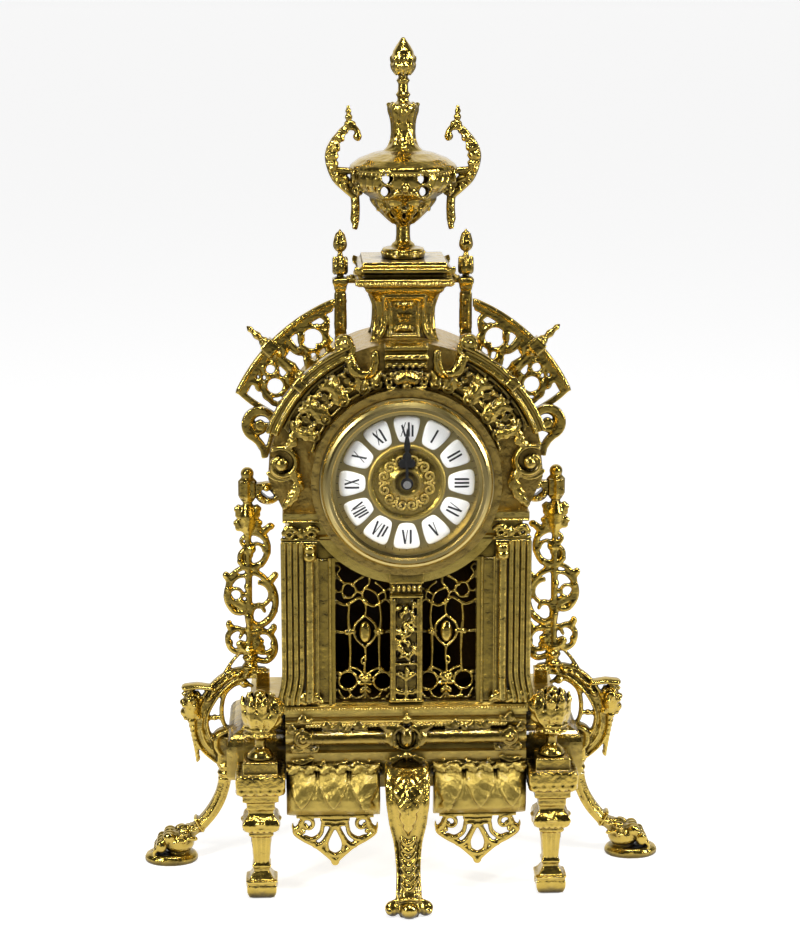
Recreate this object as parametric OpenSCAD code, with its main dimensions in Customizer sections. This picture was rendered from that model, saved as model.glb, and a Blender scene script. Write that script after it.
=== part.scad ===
// Cast brass mantel clock: a footed bombe base, a pilastered body with pierced grilles,
// a round drum case under an arched hood, and a tower that carries a covered urn.
// X runs to the right, Y to the back and Z up. The origin is on the table, under the middle.

/* [Base] */
// Height of the base block's underside over the table
leg_h = 75; // [66:1:84]
// How far the base block stands out past each side of the body
base_side = 42; // [40:0.5:48]
// Depth of the base block
base_d = 83.6; // [80:0.2:92]
// Height of the base block
base_h = 52; // [50:1:58]
// Distance of each front leg's axis from the side of the body
leg_side = 19; // [18:0.5:21]
// Depth of the leg axis in front of the tower axis
leg_fore = 50; // [48:1:54]
// Width of the leg's carved block
leg_block = 32.8; // [30:0.2:34]
// Width of the breakfront and of the two bowed panels together
front_w = 161; // [158:1:162]
// How far the breakfront stands before the base block
front_out = 14.4; // [12:0.2:16]
// How far the bowed panels swell before the breakfront
panel_out = 17; // [12:1:20]
// Thickness of the cast aprons
apron_t = 4; // [3:0.5:6]
// Reach of the centre leg's toe before the breakfront
toe_out = 52; // [46:1:56]

/* [Rear brackets] */
// Thickness of the pierced side brackets
bracket_t = 10; // [8:1:14]
// Distance of the brackets behind the tower axis
bracket_back = 15; // [5:1:25]
// Distance of each side spindle's axis from the side of the body
spindle_side = 26.5; // [24.5:0.5:28.5]
// Reach of a paw's tip past the side of the base block
paw_out = 60.5; // [54:1:66]

/* [Body] */
// Width of the body between its outer faces
body_w = 157; // [154:1:158]
// Depth of the body
body_d = 90; // [84:1:94]
// Height of the body from the base to the cornice
body_h = 130; // [124:1:140]
// Thickness of the cast walls
wall = 4; // [3:0.5:5]
// Width of each grille window
win_w = 37; // [34:1:38]
// Width of the post between the windows
mullion_w = 20; // [18:1:22]
// Thickness of the pierced grilles
grille_t = 3; // [2:0.5:4]
// Height of the cornice
cornice_h = 7; // [6:0.5:10]

/* [Drum and hood] */
// Height of the dial centre over the cornice
dial_up = 22; // [18:1:26]
// Outer radius of the drum
drum_r = 60; // [58:0.5:62]
// Wall of the drum
drum_wall = 3; // [2:0.5:3]
// How far the drum stands out before the body
drum_out = 11; // [9:0.5:16]
// Radius of the arched hood
hood_r = 90; // [87:1:93]
// Outer radius of the front arch
arch_r = 97; // [95:1:99]
// Outer radius of the pierced rear arch
fret_r = 123; // [119:1:127]
// Thickness of the pierced rear arch
fret_t = 4; // [3:0.5:6]

/* [Tower and urn] */
// Width of the tower under its cap
tower_w = 49; // [46:1:52]
// Height of the tower's top over the hood
tower_up = 33; // [28:1:40]
// Width of the cap
cap_w = 61; // [58:1:64]
// Height of the cap
cap_h = 17; // [14:1:20]
// Distance between the two tower posts
post_span = 83; // [80:1:88]
// Height of the urn without its finial
urn_h = 102; // [96:1:110]
// Radius of the urn's bowl
urn_r = 34.8; // [32:0.2:38]

/* [Dial] */
// Outer radius of the bezel
bezel_r = 56.6; // [55:0.2:58]
// Radius of the glass
glass_r = 48; // [46:0.5:49]
// Depth of the bezel
bezel_t = 9; // [8:0.5:12]
// Outer radius of the numeral cartouches
cart_r = 43.2; // [41:0.2:44]
// Length of the minute hand from the centre
minute_l = 37; // [33:0.5:40]
// Length of the hour hand from the centre
hour_l = 24; // [20:0.5:28]

/* [Movement] */
// Radius of the movement's plates
plate_r = 46; // [45:0.5:50]
// Distance between the two plates
plate_gap = 22; // [20:0.5:26]
// Gear module of the going train
train_m = 0.5; // [0.45:0.01:0.55]
// Running clearance round an arbor
run = 0.06; // [0.03:0.01:0.1]

/* [Door] */
// Thickness of the rear door
door_t = 3; // [2:0.5:4]
// Radius of the door's hinge pin
pin_r = 1.2; // [1:0.1:1.6]

/* [Hidden] */
$fn = 96;
gap = 0.15;                      // seat of one curved casting in another
axis_y = 20;                     // depth of the tower axis
brass = [0.72, 0.58, 0.24];
bright = [0.85, 0.72, 0.38];
dark = [0.48, 0.37, 0.14];
steel = [0.62, 0.63, 0.65];

base_top = leg_h + base_h;
body_top = base_top + body_h;
cornice_top = body_top + cornice_h;
dial_z = cornice_top + dial_up;
hood_top = dial_z + hood_r;
tower_top = hood_top + tower_up;
cap_top = tower_top + cap_h;
base_w = body_w + 2 * base_side;
leg_x = body_w / 2 + leg_side;
leg_y = axis_y - leg_fore;
base_y = leg_y + leg_block / 2;
front_y = base_y - front_out;
body_y = front_y + 3;
body_back = body_y + body_d;
side_y = axis_y + bracket_back;
spindle_x = body_w / 2 + spindle_side;
hood_y = body_y + 4;
hood_back = body_back - 7;
drum_y = body_y - drum_out;
drum_back = body_back + 5;
fret_y = hood_y + 29;

// ---------- outlines ----------
function mix(a, b, t) = a + (b - a) * t;
function at(v, i) = v[max(0, min(len(v) - 1, i))];
function reversed(v) = [for (i = [len(v) - 1 : -1 : 0]) v[i]];
function polar(r, a) = [r * cos(a), r * sin(a)];
function arc(c, r, a0, a1, n = 16) = [for (i = [0 : n]) c + polar(r, mix(a0, a1, i / n))];
// A smooth line through the points p, with n steps between each two.
function through(a, b, c, d, t) = 0.5 * (2 * b + (c - a) * t
    + (2 * a - 5 * b + 4 * c - d) * t * t + (3 * b - a - 3 * c + d) * t * t * t);
function smooth(p, n = 6) = [
    for (i = [0 : len(p) - 2], k = [0 : n - 1])
        through(at(p, i - 1), p[i], p[i + 1], at(p, i + 2), k / n),
    p[len(p) - 1]
];
function heading(c, i) = let (d = at(c, i + 1) - at(c, i - 1)) d / norm(d);
function flank(c, w, s) = [
    for (i = [0 : len(c) - 1])
        let (d = heading(c, i), h = s * lookup(i / (len(c) - 1), w) / 2) c[i] + [-d[1], d[0]] * h
];
function ribbon(c, w) = concat(flank(c, w, 1), reversed(flank(c, w, -1)));
function even(w) = [[0, w], [1, w]];
function taper(a, b, c) = [[0, a], [0.5, b], [1, c]];
function raised(p, z) = [for (q = p) [q[0], q[1] + z]];

module strap(p, w, n = 6) polygon(ribbon(smooth(p, n), w));
module curl(c, r, w, a0, a1) polygon(ribbon(arc(c, r, a0, a1, 24), even(w)));
module ring(c, r, w) translate(c) difference() { circle(r); circle(r - w); }
module disc(c, r) translate(c) circle(r);
module bar(x0, x1, z0, z1) translate([x0, z0]) square([x1 - x0, z1 - z0]);

// A drawing in X and Z, given the thickness t from y backward.
module cast(y, t) translate([0, y + t, 0]) rotate([90, 0, 0])
    for (i = [0 : $children - 1]) linear_extrude(t) children(i);
// A drawing in Y and Z, given the width w about x.
module across(x, w) translate([x - w / 2, 0, 0]) rotate([90, 0, 90]) linear_extrude(w) children();
// A turned piece, from a list of [radius, height].
module turned(x, y, p) translate([x, y, 0])
    rotate_extrude() polygon(concat([[0, p[0][1]]], p, [[0, p[len(p) - 1][1]]]));
// A square piece with mitred mouldings, from a list of [half width, height].
module mitred(x, y, p, more_y = 0) intersection() {
    wide = 2 * max([for (q = p) q[0]]) + 2 * abs(more_y) + 2;
    cast(y - wide / 2, wide) translate([x, 0])
        polygon(concat(p, [for (q = reversed(p)) [-q[0], q[1]]]));
    across(x, wide) translate([y, 0]) polygon(concat([for (q = p) [q[0] + more_y, q[1]]],
        [for (q = reversed(p)) [-q[0] - more_y, q[1]]]));
}
module about_dial(y) translate([0, y, dial_z]) rotate([-90, 0, 0]) children();
module drum_bore(r) about_dial(drum_y - 20) cylinder(r = r, h = body_d + 60);
module mirrored() mirror([1, 0, 0]) children();

// ---------- base ----------
bib = 16;                        // half width of the centre leg's leaf
front_half = leg_x - leg_block / 2 - 0.6;
panel_in = bib + 1.5;
panel_bottom = leg_h - 17.5;

// The base block's side, from its foot to its top.
function block_side(w) = [
    [w - 2.5, leg_h], [w - 1, leg_h + 1], [w, leg_h + 3], [w, leg_h + 22],
    for (p = arc([w - 12, leg_h + 22], 12, 12, 78, 5)) p,
    [w - 12, leg_h + 37], [w - 12.5, leg_h + 40], [w - 15.5, leg_h + 41],
    [w - 16, base_top - 4], [w - 16, base_top]
];
module base_block() color(brass) {
    w = base_w / 2;
    mitred(0, base_y + base_d / 2, block_side(w), base_d / 2 - w);
    f = front_y;
    across(0, 2 * front_half) polygon([
        [base_y + 40, leg_h], [f, leg_h], [f, leg_h + 18], [f - 1.5, leg_h + 19.5],
        [f - 1.5, leg_h + 25], [f + 2, leg_h + 26], [f + 3, leg_h + 29.5],
        for (p = arc([f + 3, leg_h + 35.5], 5.4, 270, 90, 12)) p,
        for (p = arc([f + 2.5, leg_h + 44.5], 2.4, 270, 90, 8)) p,
        [f + 2.5, leg_h + 48], [f, leg_h + 50], [f, base_top], [base_y + 40, base_top]
    ]);
}

module column_leg() color(bright) mitred(leg_x, leg_y, [
    [6, 0], [8.5, 1.5], [9.8, 5], [10, 9], [9, 13], [6.5, 17], [5.2, 19], [5.6, 21], [6.6, 23],
    [5.4, 24.5], [5.1, leg_h - 50], [6.3, leg_h - 31.5], [7.8, leg_h - 30.5], [8.5, leg_h - 29],
    [8, leg_h - 27.5], [10.5, leg_h - 26], [12.7, leg_h - 21.5], [11.5, leg_h - 18],
    [9.7, leg_h - 16], [8.2, leg_h - 14], [8.5, leg_h - 12], [9.4, leg_h - 10.5],
    [9.4, leg_h - 6], [12, leg_h - 4.5], [12, leg_h], [leg_block / 2 - 2, leg_h + 1],
    [leg_block / 2 - 2, leg_h + 5], [leg_block / 2, leg_h + 6.5], [leg_block / 2, leg_h + 13.5],
    [11.5, leg_h + 14.5], [11.5, leg_h + 23]
]);
module right_column_leg() column_leg();
module left_column_leg() mirrored() column_leg();

module centre_leg() color(bright) {
    toe = front_y - toe_out;
    top = leg_h + 18;
    intersection() {
        across(0, 60) polygon(concat(
            [[front_y, top], [front_y, leg_h]],
            smooth([[front_y - 1, leg_h - 2], [front_y - 7, leg_h - 10], [front_y - 14, leg_h - 26],
                [front_y - 15, leg_h - 40], [front_y - 19, leg_h - 54], [toe + 26, 8], [toe + 22, 0]]),
            [[toe + 12, 0], [toe + 7, 12]],
            smooth([[toe + 10, 13], [toe + 17, 22], [toe + 22, 34], [front_y - 29, leg_h - 27],
                [front_y - 31, leg_h - 15], [front_y - 32, leg_h - 5], [front_y - 29, leg_h + 7],
                [front_y - 22, leg_h + 15], [front_y - 12, top]])
        ));
        cast(toe - 5, toe_out + 10) {
            half = [[7, 0], [9, 12], [9, 19], [10.5, leg_h - 29], [12, leg_h - 16], [13, leg_h - 5],
                [15.3, leg_h + 4], [bib, leg_h + 10], [bib - 1, leg_h + 15], [bib - 4, top]];
            polygon(concat(half, [for (q = reversed(half)) [-q[0], q[1]]]));
        }
    }
    translate([-16, toe + 12, 6]) rotate([0, 90, 0]) cylinder(r = 6, h = 32);
    translate([-5.7, toe, 0]) cube([11.4, 24, 12.5]);
}

// One bowed panel, with two rows of overlapping scales on its swell.
module front_panel() {
    x0 = panel_in;
    x1 = front_half;
    top = leg_h + 18;
    f = front_y;
    c = 9;
    module outline() polygon(concat([[x0, panel_bottom], [x1 - c, panel_bottom]],
        arc([x1 - c, panel_bottom + c], c, 270, 360, 6), arc([x1 - c, top - c], c, 0, 90, 6),
        [[x0, top]]));
    module swell(out) across((x0 + x1) / 2, x1 - x0 + 4) polygon(concat([[f, top], [f, panel_bottom]],
        smooth([[f - 8 - out, panel_bottom], [f - panel_out + 2 - out, panel_bottom + 6.5],
            [f - panel_out - out, panel_bottom + 14], [f - panel_out + 4 - out, panel_bottom + 24],
            [f - 4 - out, panel_bottom + 32], [f - 3 - out, top]], 5)));
    n = 3;
    pitch = (x1 - x0) / n;
    color(brass) {
        intersection() {
            cast(f - panel_out - 3, panel_out + 3) outline();
            swell(0);
        }
        intersection() {
            cast(f - panel_out - 3, panel_out) intersection() {
                outline();
                union() for (row = [0, 1], i = [0 : n - row])
                    curl([x0 + pitch * (i + row / 2), top - 9 - row * 8], pitch / 2 + 0.8, 1.6,
                        200, 340);
            }
            swell(0.8);
        }
    }
}
module right_front_panel() front_panel();
module left_front_panel() mirrored() front_panel();

// A pierced pendant under the panel: keyhole ring, stem and two side scrolls.
module apron() color(brass) translate([(panel_in + front_half) / 2 - 1, 0, panel_bottom])
    cast(front_y - 2 - apron_t, apron_t) {
        bar(-27.5, 27.5, -3, 0);
        for (s = [-1, 1]) scale([s, 1]) {
            strap([[26, -2], [27, -8], [22, -15], [13, -21], [5, -28], [0.4, -34]], taper(3, 3.6, 3));
            curl([19.5, -9], 4.6, 2.2, -60, 250);
            strap([[6.5, -17.5], [10, -14], [13.5, -13], [16, -12]], even(2.2), 4);
        }
        ring([0, -15.5], 7.4, 2.6);
        bar(-1.6, 1.6, -9.5, -2);
        bar(-1.6, 1.6, -33, -22);
        disc([0, -34.5], 3);
    }
module right_apron() apron();
module left_apron() mirrored() apron();

module vase() color(bright) turned(leg_x, leg_y, raised([
    [10.5, 0], [10.5, 6], [8.5, 8], [4, 10.5], [3.4, 14], [4.6, 16.5], [8.4, 19], [9, 21.5], [5.6, 25],
    [4.8, 28.5], [6, 30], [10, 33], [13.4, 37], [14, 40], [12.8, 42], [13.5, 44.5], [9, 46], [6, 47],
    [2, 48.5]
], leg_h + 23));
module right_vase() vase();
module left_vase() mirrored() vase();

// ---------- side brackets ----------
bracket_top = base_top + 13;
// The paw leg, its big scroll, the mask and the band that carries the spindle, in one casting.
module paw_bracket() color(brass) difference() {
    paw_casting();
    cast(side_y - 20, 40) {
        polygon(concat([[0, leg_h]], block_side(base_w / 2), [[0, base_top]]));
        bar(spindle_x - 8, spindle_x + 8, bracket_top, bracket_top + 5);
    }
}
module paw_casting() {
    side = base_w / 2;
    tip = side + paw_out;
    y0 = side_y - bracket_t / 2;
    heel = tip - 36;
    knee = side + 6.5;
    cast(y0, bracket_t) {
        strap([[heel + 6, 5], [heel - 2, 16], [heel - 15, 29], [knee - 10, 44], [knee - 4.5, leg_h - 17]],
            taper(13, 9.5, 10.5));
        bar(knee - 4.8, knee + 6.5, leg_h - 17, leg_h - 2);
        bar(side, knee + 6, leg_h + 3, leg_h + 17);
        strap([[knee - 1, leg_h - 4], [knee + 9, leg_h + 8], [knee + 14, leg_h + 25],
            [knee + 8, leg_h + 43], [knee + 3, leg_h + 52], [knee - 8, bracket_top - 4.5],
            [spindle_x, bracket_top - 4], [spindle_x - 14, bracket_top - 4]], [[0, 7], [0.4, 8], [0.7, 8], [1, 8]]);
        bar(spindle_x - 14, spindle_x - 4, base_top, bracket_top - 3);
    }
    // mask with a hanging drop
    cast(y0 + 1, bracket_t - 2) {
        strap([[knee + 8, leg_h + 37], [knee + 16, leg_h + 45], [knee + 24, leg_h + 43],
            [knee + 26, leg_h + 34]], taper(8, 11, 4));
        strap([[knee + 17, leg_h + 40], [knee + 19, leg_h + 22], [knee + 17, leg_h + 4]],
            taper(8, 5, 3));
    }
    // slender inner scroll and its links
    cast(side_y - 2, 4) {
        curl([knee - 2, leg_h + 34], 16, 2.6, -55, 235);
        strap([[knee + 8, leg_h + 22], [knee + 3, leg_h + 19], [knee - 1, leg_h + 17]], even(2.6), 4);
        strap([[knee - 7, leg_h + 48], [knee - 9, leg_h + 56], [knee - 11, leg_h + 60]], even(3), 4);
        strap([[knee + 13, leg_h + 30], [knee + 17, leg_h + 36]], even(3), 4);
    }
    // paw: an oval pad under a knuckled foot
    intersection() {
        cast(side_y - 14, 28) polygon(concat([[heel, 0], [tip, 0]], smooth([[tip, 4], [tip - 4, 8],
            [tip - 10, 9.5], [tip - 14, 18], [tip - 21, 26], [heel + 7, 26], [heel + 2, 20],
            [heel, 8], [heel, 3]], 5)));
        linear_extrude(60) translate([(heel + tip) / 2, side_y]) polygon(
            [for (i = [0 : 35]) [(tip - heel) / 2 * cos(i * 10), 13 * sin(i * 10)]]);
        across((heel + tip) / 2, tip - heel + 4) translate([side_y, 0]) polygon(
            [[-14, 0], [14, 0], [14, 6], [11, 8], [8, 16], [6, 27], [-6, 27], [-8, 16], [-11, 8], [-14, 6]]);
    }
}
module right_paw_bracket() paw_bracket();
module left_paw_bracket() mirrored() paw_bracket();

spindle_top = cornice_top + 13.5;
module spindle() color(brass) {
    z0 = bracket_top;
    z1 = spindle_top;
    turned(spindle_x, side_y, [
        [4.5, z0], [4.5, z0 + 3], [3, z0 + 5], [5, z0 + 7.5], [3, z0 + 10], [3.8, z0 + 12.5],
        [1.9, z0 + 15], [1.9, z1 - 43], [4.2, z1 - 38], [4.6, z1 - 31], [2.8, z1 - 26],
        [4.2, z1 - 23], [2.8, z1 - 20], [4, z1 - 17.5], [4, z1 - 3], [2.6, z1 - 2.5], [2.6, z1 - 1]
    ]);
    translate([spindle_x, side_y, z1]) sphere(4.5);
    translate([spindle_x - 5, side_y - 5, z1 - 16]) cube([10, 10, 11]);
    cast(side_y - 2, 4) translate([spindle_x, 0]) {
        translate([0, z1 - 53]) {
            curl([-2, 0], 11.5, 3.2, 70, 290);
            curl([-5.5, -1], 5, 2.4, -60, 190);
            strap([[2, 9.5], [5, 6], [2, 1], [0, -3]], even(2.6), 4);
        }
        translate([0, z1 - 86]) {
            curl([0, 6], 14.5, 3.2, -80, 120);
            curl([-6, 1], 8.5, 3, 90, 330);
            curl([9, 1], 4.4, 2.2, 20, 300);
            bar(0, 6, -0.2, 2.2);
            strap([[-4, 18], [-10, 14], [-14, 9]], taper(2.6, 3, 2), 4);
        }
        translate([0, z0 + 15]) {
            ring([-9.5, 3], 8.8, 2.8);
            curl([7, 5], 8, 3, -100, 120);
            bar(-6, 6.5, -3.6, -1);
        }
    }
}
module right_spindle() spindle();
module left_spindle() mirrored() spindle();

// The scrolled arm between the spindle's block and the cornice.
module arm() color(brass) difference() {
    arm_casting();
    cast(side_y - 10, 20) intersection() {
        disc([0, dial_z], hood_r + gap);
        bar(0, dial_z, cornice_top, dial_z);
    }
}
module arm_casting() cast(side_y - 4, 8) {
    x0 = body_w / 2 + 2.5;
    x1 = spindle_x - 5;
    z = cornice_top;
    bar(x0, x0 + 5, z - 4.5, z + 4);
    bar(x1 - 4, x1, z - 1.5, z + 7);
    strap([[x0 + 2, z], [mix(x0, x1, 0.35), z + 5], [mix(x0, x1, 0.7), z + 5], [x1 - 2, z + 3]], even(4.5));
    strap([[x0 + 2, z - 2], [mix(x0, x1, 0.5), z - 5], [x1 - 2, z + 1]], taper(3.5, 3, 3));
}
module right_arm() arm();
module left_arm() mirrored() arm();

// ---------- body ----------
skirt = 10;
frieze = 11;
win_z0 = base_top + 7;
win_z1 = base_top + 104;
module outside_skirt(more = 0) difference() {
    children();
    disc([0, dial_z], drum_r + skirt + more);
}
module window(more = 0) outside_skirt(-more)
    bar(mullion_w / 2 - more, mullion_w / 2 + win_w + more, win_z0 - more, win_z1 + more);

module body_shell() color(brass) difference() {
    w = body_w / 2;
    y = body_y + body_d / 2;
    union() {
        mitred(0, y, [
            [w + 3, base_top], [w + 3, base_top + 5], [w + 1.5, base_top + 6], [w, base_top + 7],
            [w, body_top - frieze], [w + 1, body_top - frieze + 0.6], [w + 1, body_top - frieze + 2],
            [w - 1.5, body_top - frieze + 3], [w - 1.5, body_top]
        ], body_d / 2 - w);
        for (s = [-1, 1]) scale([s, 1, 1]) cast(body_y + 2, body_d - 4) polygon(concat(
            [[w - 2, base_top + 6], [w + 4, base_top + 6]],
            smooth([[w + 4, base_top + 7], [w + 1.5, base_top + 14], [w, base_top + 28]])));
        // flat ring round the foot of the drum, and the raised frames of the windows
        cast(body_y - 2, 3) difference() {
            intersection() {
                disc([0, dial_z], drum_r + skirt);
                bar(-w + 2, w - 2, base_top + 20, body_top - frieze);
            }
            disc([0, dial_z], drum_r + 1);
        }
        for (s = [-1, 1]) scale([s, 1, 1]) cast(body_y - 1, 2) outside_skirt() difference() {
            bar(mullion_w / 2 + 1.2, mullion_w / 2 + win_w + 2.5, win_z0 - 2, win_z1 + 2.5);
            window();
        }
    }
    translate([-w + wall, body_y + wall, base_top + wall])
        cube([body_w - 2 * wall, body_d - 2 * wall, body_h - 2 * wall]);
    for (s = [-1, 1]) scale([s, 1, 1]) cast(body_y - 5, wall + 10) window();
    drum_bore(drum_r + gap);
}

// Reeded pilaster that spreads at its foot.
module pilaster() color(bright) {
    x0 = body_w / 2 - 19.5;
    x1 = body_w / 2;
    z0 = base_top + 7;
    z1 = body_top - frieze;
    cast(body_y - 4, 4) polygon(concat([[x0, z1], [x0, z0 + 24]],
        smooth([[x0, z0 + 22], [x0 + 0.5, z0 + 8], [x0 - 0.5, z0 + 1]], 4), [[x0 - 0.5, z0], [x1 + 4, z0]],
        smooth([[x1 + 4, z0 + 1], [x1 + 1.5, z0 + 9], [x1, z0 + 22]], 4), [[x1, z1]]));
    for (i = [0 : 3]) translate([x0 + 3.5 + i * (x1 - x0 - 7) / 3, body_y - 4, z0 + 14])
        cylinder(r = 1.5, h = z1 - z0 - 22);
    cast(body_y - 6, 2.2) {
        bar(x0 - 0.5, x1 + 1, z1 - 6, z1);
        bar(x0 - 0.5, x1 + 1, z0 + 11, z0 + 14);
        bar(x0 - 0.5, x1 + 3.5, z0, z0 + 5);
    }
}
module right_pilaster() pilaster();
module left_pilaster() mirrored() pilaster();

// Pierced window: uprights, round and pointed rings about an oval cabochon.
module grille() color(bright) {
    c = (mullion_w + win_w) / 2;
    z0 = win_z0;
    zc = z0 + 46;
    side = win_w / 2 - 9.5;
    cast(body_y + wall, grille_t) {
        difference() {
            outside_skirt(-2) bar(mullion_w / 2 - 1.7, mullion_w / 2 + win_w + 2, z0 - 2, win_z1 + 2);
            outside_skirt(1) bar(c - win_w / 2 + 0.8, c + win_w / 2 - 0.8, z0 + 0.8, win_z1 - 0.8);
        }
        translate([c, 0]) intersection() {
            translate([-c, 0]) outside_skirt() bar(c - win_w / 2, c + win_w / 2, z0, win_z1);
            union() for (s = [-1, 1]) scale([s, 1]) {
                strap([[side, z0 + 23], [side + 1, z0 + 40], [side - 0.5, z0 + 60], [side, z0 + 72]], even(2));
                ring([side + 2, z0 + 10], 6.6, 1.7);
                strap([[side, z0 + 24], [5, z0 + 25], [0, z0 + 22], [-2, z0 + 16], [0, z0 + 4], [0, z0]], even(1.8));
                strap([[side + 2, z0 + 16], [side + 4, z0 + 20], [win_w / 2, z0 + 22]], even(1.8), 4);
                strap([[side + 2, z0 + 4], [side - 2, z0 + 1], [side - 4, z0]], even(1.8), 4);
                strap([[0, zc + 11], [5.5, zc + 7], [8.2, zc], [5.5, zc - 7], [0, zc - 12]], even(2.4));
                strap([[7.6, zc], [12, zc + 1.4], [win_w / 2, zc]], even(2.2), 4);
                strap([[0, zc + 10], [0.6, zc + 18], [0, zc + 24]], even(1.8), 4);
                strap([[0, zc - 11], [0.8, zc - 18], [0, zc - 24]], even(1.8), 4);
                strap([[0, zc + 22], [side / 2, zc + 20], [side, zc + 24], [win_w / 2, zc + 21]], even(1.8), 4);
                ring([side / 2 + 3, zc + 32], 6.4, 1.7);
                strap([[side + 2, zc + 25], [side + 3, zc + 34], [win_w / 2, zc + 40]], even(1.8), 4);
            }
        }
    }
    intersection() {
        cast(body_y + wall - 2, 6) polygon([for (i = [0 : 23]) [c + 4.6 * cos(i * 15), zc + 8 * sin(i * 15)]]);
        translate([0, body_y + wall + 10, zc]) rotate([0, 90, 0]) cylinder(r = 11.6, h = 100);
    }
    cast(body_y + wall, grille_t) polygon([for (i = [0 : 23]) [c + 8 * cos(i * 15), zc + 8 * sin(i * 15)]]);
}
module right_grille() grille();
module left_grille() mirrored() grille();

module centre_pilaster() color(bright) {
    h = mullion_w / 2;
    z0 = base_top + 7;
    z1 = win_z1 - 5;
    difference() {
        union() {
            cast(body_y - 5, 5) bar(-h, h, z0, z1);
            cast(body_y - 6.5, 1.6) difference() {
                bar(-h, h, z0, z1 - 17);
                bar(-h + 3, h - 3, z0 + 5, z1 - 21);
            }
            cast(body_y - 8, 8) bar(-h - 1.5, h + 1.5, z1 - 4, z1);
            cast(body_y - 8, 8) bar(-h - 1, h + 1, z1 - 17, z1 - 15);
            for (i = [0 : 6]) translate([mix(-h + 1.4, h - 1.4, i / 6), body_y - 5.4, z1 - 11]) sphere(1.3);
            for (s = [-1, 1]) cast(body_y - 6.5, 1.6)
                strap([[0, z0 + 12], [s * 4, z0 + 22], [s * 3, z0 + 34], [0, z0 + 40], [-s * 3, z0 + 50],
                    [0, z0 + 62]], even(1.6), 4);
        }
        translate([0, 0, 0]) drum_bore(drum_r + 2 + gap);
        cast(body_y - 2 - gap, 20) disc([0, dial_z], drum_r + skirt + gap);
        for (s = [-1, 1]) cast(body_y - 1 - gap, 2) bar(s * h + s * 1, s * (h + 6), z0 - 4, z1 + 2);
    }
}

module cornice() color(brass) difference() {
    w = body_w / 2;
    mitred(0, body_y + body_d / 2, [
        [w - 1.5, body_top], [w - 1, body_top + 1], [w + 0.5, body_top + 1.4],
        [w + 1.6, body_top + 2.2], [w + 2.5, body_top + 2.5], [w + 2.5, cornice_top]
    ], body_d / 2 - w);
    drum_bore(drum_r + gap);
}

// ---------- hood and drum ----------
module arch_shape(r) polygon(concat(arc([0, dial_z], r, 0, 180, 48),
    [[-body_w / 2 - 1.5 + hood_r - r, cornice_top], [body_w / 2 + 1.5 - hood_r + r, cornice_top]]));

module hood() color(dark) difference() {
    cast(hood_y, hood_back - hood_y) arch_shape(hood_r);
    cast(hood_y + 3, hood_back - hood_y - 6) difference() {
        arch_shape(hood_r - 3);
        bar(-hood_r, hood_r, cornice_top - 1, cornice_top + 3);
    }
    drum_bore(drum_r + gap);
}

module drum() color(brass) {
    about_dial(0) difference() {
        union() {
            translate([0, 0, drum_y]) cylinder(r = drum_r, h = drum_back - drum_y);
            translate([0, 0, drum_y]) cylinder(r = drum_r + 2, h = 3);
        }
        translate([0, 0, drum_y - 1]) cylinder(r = drum_r - drum_wall, h = 5);
        translate([0, 0, drum_y + 3]) cylinder(r = drum_r - drum_wall - 4, h = 3);
        translate([0, 0, drum_y + 5]) cylinder(r = drum_r - drum_wall, h = drum_back - drum_y);
    }
    for (s = [-1, 1]) {
        translate([hinge_x, hinge_y, dial_z + s * 10 - 2]) cylinder(r = 3, h = 4);
        translate([hinge_x - 1, drum_back - 5, dial_z + s * 10 - 2]) cube([6, 5, 4]);
    }
    translate([hinge_x, hinge_y, dial_z - 12]) cylinder(r = pin_r, h = 24);
}

// Front arch: a moulded band with a square block, and the volute that ends it at the tower.
arch_y = hood_y - 8;
block_a = 43;
module arch() color(bright) {
    c = [0, dial_z];
    cast(arch_y, 8) polygon(concat(arc(c, arch_r, 20, 65, 24), reversed(arc(c, hood_r - 2, 20, 65, 24))));
    cast(arch_y - 1.5, 1.6) polygon(concat(arc(c, arch_r, 20, 65, 24),
        reversed(arc(c, arch_r - 2, 20, 65, 24))));
    translate([0, 0, dial_z]) rotate([0, 90 - block_a, 0])
        translate([-3.6, arch_y - 4, hood_r]) cube([7.2, 4, arch_r - hood_r + 1]);
    translate(polar3(arch_r - 2.5, 66.5)) cast(arch_y, 8) ring([0, 0], 5.2, 2.8);
    cast(arch_y + 2, 6) strap([
        c + polar(arch_r - 6, 67), c + [34, 82], c + [32, 74], c + [27, 70.5], c + [21.5, 73], c + [19, 80],
        c + [22, 85]], even(3.2));
}
function polar3(r, a) = [r * cos(a), 0, dial_z + r * sin(a)];
module right_arch() arch();
module left_arch() mirrored() arch();

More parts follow.
